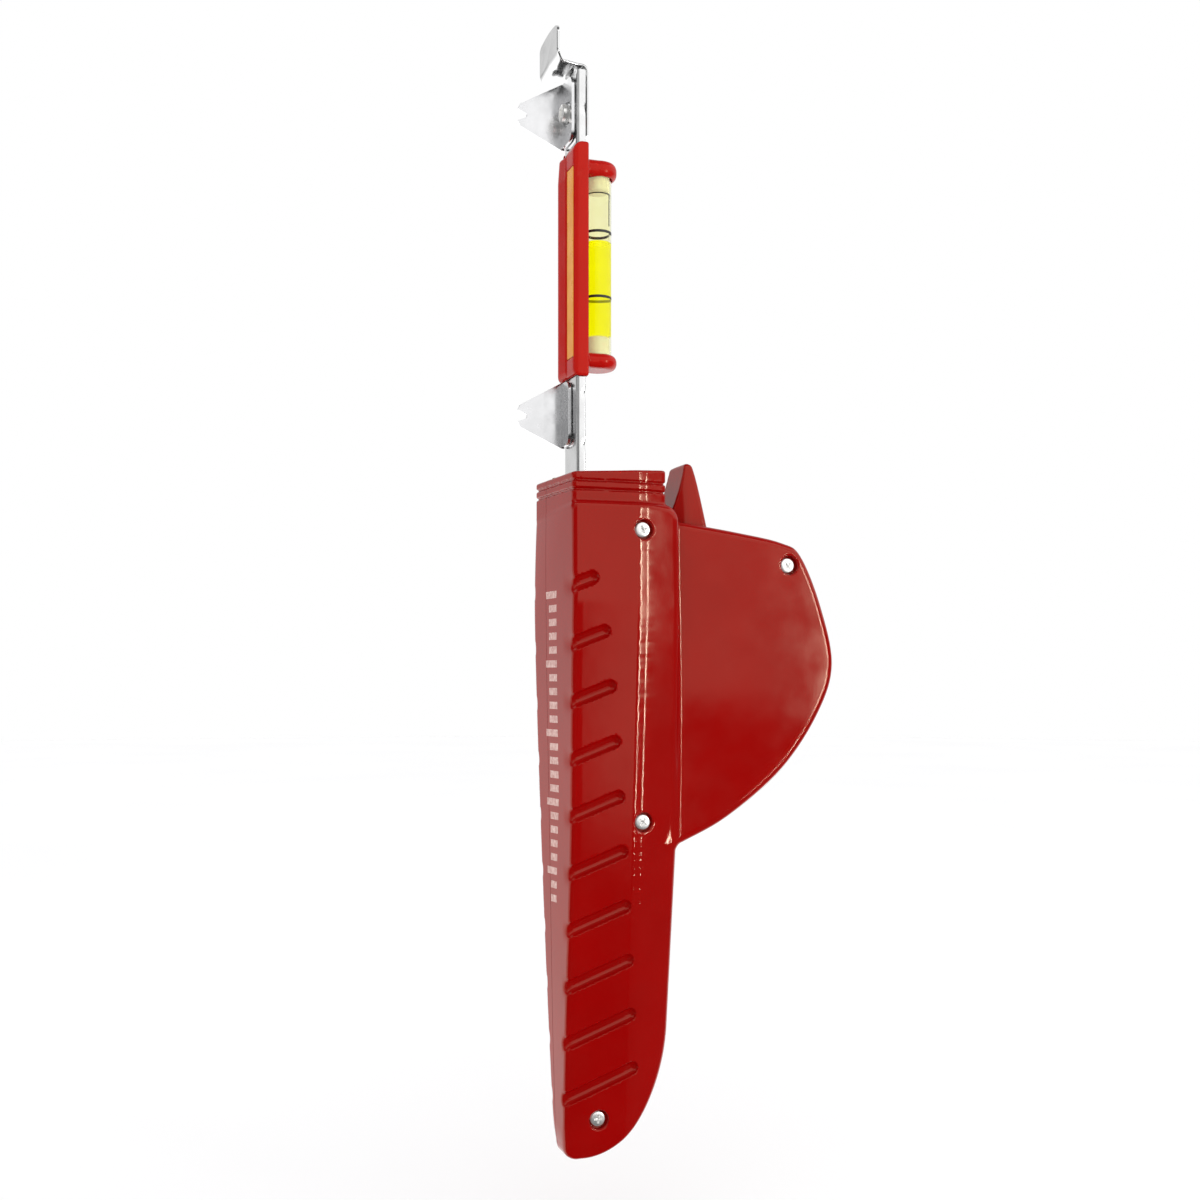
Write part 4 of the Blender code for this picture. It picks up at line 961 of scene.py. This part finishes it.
def make_anchor():
    seat = move(ARM_FRONT - 1.3, 0, ANCHOR_Z) @ TURN_TO_FRONT
    screw = pan_screw("line_anchor", 2.6, 2.0, 1.4, 4.5, seat, 0.5)
    finish_piece(screw, "screw", "anchor_screw")
    ring = [(1.75, 0.1), (1.9, 0.0), (2.95, 0.0), (3.1, 0.12), (3.1, 0.6), (2.95, 0.7), (1.9, 0.7),
            (1.75, 0.6)]
    spun("line_anchor_washer", ring, move(ARM_FRONT - 0.3, 0, ANCHOR_Z) @ TURN_TO_FRONT, "steel",
         "anchor_washer", segments=48, closed=True, angle=35)
    nut = new_object("line_anchor_nut", turned([(1.7, 0), (2.6, 0), (3.0, -0.2), (3.0, -1.4), (2.6, -1.6),
                                                (1.7, -1.6)], 6, closed=True))
    nut.data.transform(move(ARM_FRONT + 1.05, 0, ANCHOR_Z) @ TURN_TO_FRONT)
    bevelled(nut, 0.08, 2, 20)
    finish_piece(nut, "steel", "anchor_nut")


# --- The arm, its hook and its guides ---

def rounded(points, radii, steps=5):
    """A closed outline with its corners rounded, a radius for each."""
    outline = []
    for index, point in enumerate(points):
        here = Vector(point)
        before = Vector(points[index - 1]) - here
        after = Vector(points[(index + 1) % len(points)]) - here
        radius = radii[index]
        if radius <= 0:
            outline.append(tuple(here))
            continue
        angle = before.angle(after)
        run = min(radius / math.tan(angle / 2), before.length * 0.49, after.length * 0.49)
        start, end = here + before.normalized() * run, here + after.normalized() * run
        for step in range(steps + 1):
            t = step / steps
            outline.append(tuple(start * (1 - t) ** 2 + here * 2 * t * (1 - t) + end * t ** 2))
    return outline


def swept(section, stations, place):
    """A closed section carried through stations; place(point, station) gives each point."""
    bm = bmesh.new()
    rows = [[bm.verts.new(place(point, station)) for point in section] for station in stations]
    count = len(section)
    for one, two in zip(rows, rows[1:]):
        for k in range(count):
            bm.faces.new((one[k], one[(k + 1) % count], two[(k + 1) % count], two[k]))
    bm.faces.new(rows[0])
    bm.faces.new(rows[-1])
    bmesh.ops.recalc_face_normals(bm, faces=bm.faces)
    return bm


def make_arm():
    """The channel, its flanges crimped inwards where the guides and the hook are held."""
    front, back, half, wall = ARM_FRONT, ARM_BACK, ARM_HALF, 1.0
    corners = [(back, -half), (front, -half), (front, half), (back, half), (back, half - wall),
               (front + wall, half - wall), (front + wall, wall - half), (back, wall - half)]
    section = rounded(corners, (0.6, 1.25, 1.25, 0.6, 0.3, 0.5, 0.5, 0.3), 6)
    crimps = (172.6, 160.0, 86.5, 71.0)
    stations = list(np.arange(22.0, ARM_TOP_Z, 0.7)) + [ARM_TOP_Z]

    def place(point, z):
        x, y = point
        pinch = sum(math.exp(-((z - crimp) / 1.25) ** 2) for crimp in crimps)
        inward = min(max((x - front - 1.0) / 1.6, 0.0), 1.0) ** 1.5
        return x - 0.15 * pinch * inward, y - math.copysign(0.35 * pinch * inward, y), z

    arm = new_object("arm_channel", swept(section, stations, place))
    bore = gathered([cylinder(r, 0, 12, move(0, y, z) @ TURN_TO_X)
                     for y, z, r in ((-2.0, 30.0, 1.6), (-2.0, 46.0, 1.6), (0, ANCHOR_Z, 1.8))])
    combine(arm, "DIFFERENCE", bore)
    finish_piece(arm, "steel", "arm")


def hook_path():
    """Centre line (x, z) of the hook's strip, from its foot on the arm's back to the top of its tab."""
    back, over, tab = ARM_BACK + 0.7, ARM_TOP_Z + 1.45, HOOK_TAB_FRONT + 0.4
    turn_one = arc((back - 2.0, over - 2.0), (2.0, 2.0), 0, 90, 10)
    turn_two = arc((tab + 2.6, over + 2.6), (2.6, 2.6), 270, 180, 14)
    foot = [(back, z) for z in np.linspace(164.5, over - 2.6, 9)]
    leaf = [(tab, z) for z in np.linspace(over + 3.2, HOOK_TOP_Z, 14)]
    return foot + turn_one + [(back - 3.4, over), (tab + 3.2, over)] + turn_two + leaf


def make_hook():
    """A strip up the arm's back, over its top and up again into a wide, slightly dished tab."""
    path = [Vector(point) for point in hook_path()]
    thick, count = 0.8, 24
    bm = bmesh.new()
    rows = []
    for index, point in enumerate(path):
        ahead = path[min(index + 1, len(path) - 1)] - path[max(index - 1, 0)]
        ahead.normalize()
        across = Vector((ahead.y, -ahead.x))
        leaf = min(max((point.y - (ARM_TOP_Z + 1.3)) / 3.0, 0.0), 1.0) if point.x < 1.5 else 0.0
        leaf = math.sqrt(1 - (1 - leaf) ** 2)
        half = 5.9 + (HOOK_HALF - 5.9) * leaf
        row = []
        for side in (1, -1):
            for k in range(count + 1):
                share = math.sin((k / count - 0.5) * math.pi) * side
                y = half * share
                corner = 2.0 - math.sqrt(4.0 - max(0.0, abs(y) - (HOOK_HALF - 2.0)) ** 2)
                drop = (1.1 * share ** 2 + corner) * max(0.0, (point.y - (HOOK_TOP_Z - 4)) / 4) * leaf
                dish = 0.30 * leaf * (share ** 2 - 0.33)
                hang = min(max((1.5 - point.x) / 3.0, 0.0), 1.0) * min(max((190.5 - point.y) / 4.5, 0.0), 1.0)
                droop = -(0.05 + 0.17 * hang) * max(y, 0.0) if point.y > ARM_TOP_Z - 1 else 0.0
                edge = min(1.0, (1 - abs(share)) * half / 0.35)
                lift = thick / 2 * side * (0.55 + 0.45 * math.sqrt(max(edge, 0.0)))
                place = point + across * lift
                row.append(bm.verts.new((place.x - dish * 0.8, y, place.y - drop + droop)))
        rows.append(row)
    ring = len(rows[0])
    for one, two in zip(rows, rows[1:]):
        for k in range(ring):
            bm.faces.new((one[k], one[(k + 1) % ring], two[(k + 1) % ring], two[k]))
    for row in (rows[0], rows[-1]):
        for k in range(count):
            bm.faces.new((row[k], row[k + 1], row[ring - 2 - k], row[ring - 1 - k]))
    bmesh.ops.recalc_face_normals(bm, faces=bm.faces)
    hook = new_object("hook_strip", bm)
    combine(hook, "DIFFERENCE", cylinder(1.8, 2, 12, move(0, 0, ANCHOR_Z) @ TURN_TO_X))
    finish_piece(hook, "steel", "top_hook", angle=50)


def make_guide(name, node, tip_z):
    """An angle bracket: a flange on the arm's front and a notched blade standing forward."""
    face, thick, tip = ARM_FRONT - 0.3, 0.9, GUIDE_TIP_X
    low_z, high_z = tip_z - 9.4, tip_z + 10.9
    blade = [(face, low_z), (face, high_z), (face - 0.9, high_z)]
    blade += [(tip + 0.8, tip_z + 3.4), (tip, tip_z + 1.8)]
    blade += arc((tip + 2.15, tip_z), (0.8, 0.8), 80, -80, 8)
    blade += [(tip, tip_z - 1.8), (tip + 0.8, tip_z - 3.4), (face - 0.9, low_z)]
    guide = new_object(name, prism(blade, SIDE, ARM_HALF - 0.2 - thick, ARM_HALF - 0.2))
    near, far = -4.7 if tip_z > ANCHOR_Z - 10 else -1.6, ARM_HALF - 0.3
    corners = [(near, low_z + 0.4), (far, low_z + 0.4), (far, high_z - 0.4), (near, high_z - 0.4)]
    flange = prism(rounded(corners, (3.5, 0, 0, 3.5), 8), FRONT, face - thick, face)
    combine(guide, "UNION", flange)
    if abs(tip_z - ANCHOR_Z) < 10:
        combine(guide, "DIFFERENCE", cylinder(3.9, -6, 12, move(0, 0, ANCHOR_Z) @ TURN_TO_X, 48))
    bevelled(guide, 0.16, 3, 40)
    finish_piece(guide, "blade", node, angle=30)


# --- The bubble level ---

def bar(x, y, z, low, high, k=0.5):
    """Distance-like field of a rounded box."""
    size = [np.abs(v - (a + b) / 2) - (b - a) / 2 for v, a, b in zip((x, y, z), low, high)]
    return smooth_max(smooth_max(size[0], size[1], k), size[2], k)


def saddle_field(x, y, z):
    """A sleeve round the channel: its far half slopes forward, its near top corner is well rounded."""
    near, far, low_z, high_z = -7.35, 7.35, SADDLE_LOW_Z - 0.4, SADDLE_HIGH_Z
    sleeve = bar(x, y, z, (-4.0, near, low_z), (7.7, far, high_z), 0.9)
    far_half = smooth_step(y, 0.5, 1.2)
    front = 2.6 - 1.0 * np.clip((y - 0.8) / 6.5, 0, 1) + 0.5 * np.clip((z - 152.9) / 7.0, 0, 1) * far_half
    body = smooth_max(sleeve, front - x, 2.6)
    nose = np.hypot(np.maximum(5.9 - x, 0.0), np.maximum(z - (high_z - 3.2), 0.0)) - 3.0
    body = smooth_max(body, nose - 6.0 * far_half, 0.5)
    brow = bar(x, y, z, (-6.0, 0.8, 160.2), (3.9, 12.0, 175.0), 0.5)
    body = smooth_max(body, -brow, 0.8)
    arm_way = np.maximum(np.abs(y) - ARM_HALF - 0.3, np.abs(x - 5.45) - 1.65)
    body = np.maximum(body, -arm_way)
    window = bar(x, y, z, (-4.0, -5.8, 97.4), (4.0, 0.4, 155.2), 0.4)
    body = smooth_max(body, -window, 0.35)
    dimple = 0.16 * np.exp(-((z - 153.2 - 0.6 * (x - 4.7)) / 1.2) ** 2 - ((x - 4.7) / 0.9) ** 2) * (y < 0)
    body = body + dimple
    for base, top in ((SADDLE_LOW_Z + 2.9, SADDLE_LOW_Z + 7.5), (SADDLE_HIGH_Z - 9.5, SADDLE_HIGH_Z - 4.3)):
        away = np.hypot(x - VIAL_X, y) - EAR_RADIUS
        neck = np.maximum(np.abs(y) - EAR_RADIUS * 0.97, np.abs(x - (7.4 + VIAL_X) / 2) - (VIAL_X - 7.4) / 2)
        ear = smooth_max(np.minimum(away, neck), np.abs(z - (base + top) / 2) - (top - base) / 2, 2.4)
        body = smooth_min(body, ear, 1.0)
    seat = np.maximum(np.hypot(x - VIAL_X, y) - VIAL_RADIUS - 0.15, np.abs(z - 125.75) - 29.75)
    return smooth_max(body, -seat, 0.25)


def make_saddle():
    pitch = 0.36
    saddle = moulded("vial_saddle", saddle_field, (0.5, -8.5, 90.5), (20, 8.5, 164), pitch)
    skin_normals(saddle, saddle_field, 40)
    finish_piece(saddle, "saddle", "level_saddle", smooth=False)
    strip = new_object("amber_insert", box((ARM_FRONT - 1.1, -5.6, 97.6), (ARM_FRONT - 0.3, 0.2, 155.0)))
    bevelled(strip, 0.25, 4)
    finish_piece(strip, "amber", "amber_strip")


def make_vial():
    low_z, high_z = SADDLE_LOW_Z + 4.3, SADDLE_HIGH_Z - 7.3
    axis = move(VIAL_X, 0, 0)
    radius, bore = VIAL_RADIUS - 0.1, 3.7
    tube = [(bore, low_z + 0.2), (bore + 0.2, low_z), (radius - 0.25, low_z), (radius, low_z + 0.25),
            (radius, high_z - 0.25), (radius - 0.25, high_z), (bore + 0.2, high_z), (bore, high_z - 0.2)]
    spun("vial_glass", tube, axis, "vial", "vial_tube", segments=64, closed=True, angle=35)
    wide, floor_z, surface = bore + 0.08, 105.2, 133.4
    meniscus = [(r, surface + 0.6 * (r / wide) ** 5) for r in np.linspace(0, wide, 14)]
    fluid = meniscus + [(wide, floor_z), (0, floor_z)]
    spun("vial_fluid", fluid, axis, "liquid", "vial_liquid", segments=64, angle=35)
    for number, start, end in ((1, low_z, 105.0), (2, 149.4, high_z)):
        plug = [(0, end), (3.1, end), (3.62, end - 0.5), (3.62, start + 0.5), (3.1, start), (0, start)]
        spun(f"vial_stopper_{number}", plug, axis, "plug", f"vial_plug_{number}", segments=48, angle=50)
    for number, z in ((1, 136.9), (2, 117.0)):
        inner, outer, high = radius - 0.12, radius + 0.05, 0.42
        ring = [(inner, z - high), (outer, z - high * 0.8), (outer + 0.02, z), (outer, z + high * 0.8),
                (inner, z + high)]
        spun(f"vial_ring_{number}", ring, axis, "black", segments=64, closed=True, angle=35)
    # Painted shade: a thin black rim drawn where the bubble's edge looks dark
    rim = swept(arc((0, 0), (0.2, 0.2), 0, 315, 7), painted_bubble_shade_frames(bore - 0.16),
                lambda point, station: station @ Vector((*point, 0)))
    edge = new_object("bubble_shade_line", placed(rim, axis))
    finish_piece(edge, "black")


def painted_bubble_shade_frames(radius):
    """Frames for a painted shade line, a black rim standing in for the dark outline along the bubble's edge:
    round the vial's near side, then down its right side.
    """
    around = [(a, 148.6) for a in np.linspace(-80, 40, 25)]
    around += [(40 + 36 * math.sin(b), 148.6 - 2.6 * (1 - math.cos(b)))
               for b in np.radians(np.linspace(6, 90, 14))]
    around += [(76, z) for z in np.linspace(145.0, 139.5, 9)]
    points = [Vector((radius * math.sin(math.radians(a)), -radius * math.cos(math.radians(a)), z))
              for a, z in around]
    frames = []
    for index, point in enumerate(points):
        along = (points[min(index + 1, len(points) - 1)] - points[max(index - 1, 0)]).normalized()
        out = Vector((point.x, point.y, 0)).normalized()
        side = along.cross(out)
        frames.append(Matrix.Translation(point) @ Matrix((out, side, along)).transposed().to_4x4())
    return frames


# --- The lever ---

def lever_field(x, y, z):
    """The lever's fin: a thumb horn leaning forward to a thin top, its front corners cut back."""
    u = x - LEVER_X
    rise = np.clip((z - 46.0) / 18.0, 0.0, 1.15)
    back = u - (6.4 - 4.1 * rise - 0.25 * rise ** 6)
    drop = np.clip(64.2 - z, -3.0, 16.0)
    front = -u - np.minimum(1.9 + 0.19 * drop + 0.0068 * drop ** 2, 5.9)
    across = np.where(y > 0, y * LEVER_HALF / (LEVER_HALF - 2.2 * rise ** 2), -y)
    side = across - (LEVER_HALF - 0.4 * rise ** 2)
    corner = across * 0.94 - u * 0.34 - 7.7
    body = smooth_max(smooth_max(side, back, 1.6), front, 0.7)
    body = smooth_max(body, corner, 0.5)
    arch = 0.006 * np.maximum(y, 0.0) ** 2
    dome = np.hypot((u + 1.0) * 0.8, z + arch - 57.9) - 9.0
    body = smooth_max(body, np.where(z > 57.5, dome, -9.0), 1.1)
    return smooth_max(body, LEVER_Z - 4.5 - z, 1.0)


def make_lever():
    pitch = 0.4
    lever = moulded("thumb_lever", lever_field, (32, -9.5, 32), (49, 9.5, 68), pitch)
    wheel_x, wheel_z = REEL_X - LEVER_X, REEL_Z - LEVER_Z
    tooth = wheel_x - RATCHET_RADIUS
    pawl = [(-2.2, 0), (2.2, 0), (2.2, -18.0), (tooth - 0.6, wheel_z + 3.0), (tooth - 0.6, wheel_z - 0.4),
            (tooth + 1.05, wheel_z - 0.65), (tooth + 0.9, wheel_z - 1.2), (tooth + 0.3, wheel_z - 2.5),
            (tooth - 2.8, wheel_z - 3.5), (tooth - 4.9, wheel_z - 3.0), (-2.2, -20.0)]
    axis = move(LEVER_X, 0, LEVER_Z)
    combine(lever, "UNION", placed(prism(pawl, SIDE, 3.9, 5.3), axis), "MANIFOLD")
    combine(lever, "DIFFERENCE", placed(box((-9, -4.5, -8), (9, 3.4, 6.5)), axis), "MANIFOLD")
    combine(lever, "DIFFERENCE", rod(LEVER_X, LEVER_Z, 1.56, -12, 12), "MANIFOLD")
    skin_normals(lever, lever_field, 40)
    finish_piece(lever, "case", "lock_lever", body="lock_lever", smooth=False)


# --- The reel's outside: bearing, crank, knob and filler plug ---

def spun(name, profile, matrix, look, *replaced, body="tool", segments=72, closed=False, angle=30):
    thing = new_object(name, placed(turned(profile, segments, closed), matrix))
    finish_piece(thing, look, *replaced, body=body, angle=angle)


def make_crank():
    axis = move(REEL_X, 0, REEL_Z)
    hold = move(REEL_X, 0, REEL_Z - CRANK_REACH) @ TURN_TO_Y
    low_y, high_y = 12.4, 14.2
    eye = arc((0, 0), (6.0, 6.0), -12, 192, 28)
    end = arc((0, -CRANK_REACH), (4.0, 4.0), 192, 348, 22)
    plate = new_object("crank_plate", placed(prism(eye + end, SIDE, low_y, high_y), axis))
    for radius, matrix in ((3.3, axis @ TURN_TO_Y), (1.8, hold)):
        combine(plate, "DIFFERENCE", cylinder(radius, 10, 18, matrix, 40))
    combine(plate, "DIFFERENCE", cylinder(4.3, high_y - 0.35, 16, axis @ TURN_TO_Y, 48))
    bevelled(plate, 0.28, 3, 40)
    finish_piece(plate, "steel", "crank_arm", body="reel", angle=30)
    seat = axis @ TURN_TO_Y @ move(0, 0, 16.1)
    screw = pan_screw("crank_centre_screw", 3.75, 2.0, 1.2, 6.4, seat, 0.3)
    finish_piece(screw, "screw", "crank_screw", body="reel")
    spun("crank_bearing", [(6.3, 12.0), (6.6, 11.8), (6.6, 11.3), (5.2, 11.3), (5.2, 6.9), (3.06, 6.9),
                           (3.06, 11.9), (3.2, 12.0)], axis @ TURN_TO_Y, "brass", "far_bush", closed=True)
    ribs = []
    for step in range(25):
        t = step / 24
        y = 16.0 + 9.6 * t
        ribs.append((3.45 + 0.5 * math.sin(math.pi * min(1, t * 1.15)) + 0.09 * math.cos(step * math.pi), y))
    knob = [(1.56, 25.9), (2.7, 25.9), (2.7, 27.3), (2.9, 27.5), (3.2, 27.45), (3.6, 27.1), (3.85, 26.5)]
    knob += list(reversed(ribs)) + [(3.7, 15.0), (3.55, 14.6), (1.75, 14.6), (1.56, 14.8)]
    spun("crank_handle", knob, hold, "black", "crank_knob", body="crank_knob", closed=True, angle=60)
    rivet = [(0, 27.15), (1.0, 27.1), (1.8, 26.9), (2.25, 26.5), (2.3, 26.3), (1.5, 26.2), (1.5, 12.1),
             (0, 12.1)]
    spun("crank_rivet", rivet, hold, "steel", "knob_rivet", body="crank_knob")
    plug = [(0, 12.2), (1.7, 12.2), (1.9, 12.35), (2.1, 12.55), (4.5, 12.55), (5.1, 12.35), (5.45, 11.9),
            (5.5, 11.4), (5.5, 10.5), (5.3, 10.3), (3.7, 10.25), (3.7, 9.6), (3.95, 9.2), (3.7, 8.8),
            (3.7, 7.8), (3.2, 7.0), (0, 7.0)]
    spun("filler_stopper", plug, move(PLUG_X, 0, PLUG_Z) @ TURN_TO_Y, "rubber", "filler_plug",
         body="filler_plug", angle=50)


# --- Inside the case ---

def soft_block(name, low, high, look, node):
    """A felt or sponge block: closed, a little swollen, its edges rounded and its faces uneven."""
    size = [b - a for a, b in zip(low, high)]
    middle = [(a + b) / 2 for a, b in zip(low, high)]
    bm = box(low, high)
    bmesh.ops.subdivide_edges(bm, edges=bm.edges, cuts=11, use_grid_fill=True)
    for vert in bm.verts:
        share = [2 * (c - m) / s for c, m, s in zip(vert.co, middle, size)]
        length = max(1e-6, sum(abs(v) ** 8 for v in share) ** 0.125)
        reach = max(abs(v) for v in share)
        for axis in range(3):
            pulled = middle[axis] + share[axis] * reach / length * size[axis] / 2
            ripple = 0.04 * math.sin(2.3 * vert.co.x + 1.7 * vert.co.z) * math.cos(1.9 * vert.co.y)
            vert.co[axis] = pulled - math.copysign(abs(ripple), share[axis])
    thing = new_object(name, bm)
    finish_piece(thing, look, node, angle=80)


def make_insides():
    soft_block("felt_wiper_1", (19.0, -9.0, 0.0), (27.0, -2.4, 12.0), "felt", "felt_pad_1")
    soft_block("felt_wiper_2", (19.0, -1.4, 0.0), (27.0, 3.8, 12.0), "felt", "felt_pad_2")
    soft_block("sponge_block", (5.0, -9.5, -36.0), (29.0, 3.2, -6.0), "sponge", "ink_sponge")
    lip = [(1.5, 0.0), (1.5, -3.4), (0.8, -3.4), (0.8, 0.05), (1.0, 0.22), (1.5, 0.28), (1.9, 0.2),
           (2.0, 0.02)]
    spun("line_bushing", lip, move(*EYELET, lid_z(EYELET[0]) + 0.05), "brass", "line_eyelet", closed=True)
    turns, inner, outer = 8, 8.3, 19.0
    bumps = []
    for turn in range(turns):
        y = 1.0 - 6.4 * (turn + 0.5) / turns
        bumps += [(outer - 0.4 + 0.4 * math.cos(a), y + 0.4 * math.sin(a))
                  for a in np.radians((70, 30, 0, -30, -70))]
    profile = bumps + [(inner, -5.4), (inner, 1.0)]
    spun("line_winding", profile, move(REEL_X, 0, REEL_Z) @ TURN_TO_Y, "line", "wound_line", body="reel",
         closed=True, angle=80)
    kept = {"steel": ("arm_block", "roller_pin", "ratchet_wheel", "spring_washer", "axle", "lever_pin",
                      "lever_spring"),
            "screw": ("arm_screw_1", "arm_screw_2"), "black": ("guide_roller",), "spool": ("spool",),
            "brass": ("near_bush",)}
    for slot, nodes in kept.items():
        for name in nodes:
            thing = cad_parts[name]
            for place in thing.material_slots:
                place.material = LOOKS[slot].material
            if name == "lever_spring":
                continue
            bevel = thing.modifiers.new("Bevel", "BEVEL")
            bevel.width = 0.1 * MM
            bevel.segments = 2
            bevel.limit_method = "ANGLE"
            bevel.angle_limit = math.radians(35)


def main():
    bpy.context.scene.view_settings.view_transform = "Standard"
    make_looks()
    make_camera()
    make_world()
    make_floor()
    for number, azimuth in enumerate(STRIP_AZIMUTHS):
        strip_light(f"strip_{number + 1}", azimuth)
    make_case()
    make_case_screws()
    make_anchor()
    make_arm()
    make_hook()
    make_guide("upper_guide_plate", "upper_line_guide", GUIDE_TIPS_Z[0])
    make_guide("lower_guide_plate", "lower_line_guide", GUIDE_TIPS_Z[1])
    make_saddle()
    make_vial()
    make_lever()
    make_crank()
    make_insides()


main()
low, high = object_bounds()
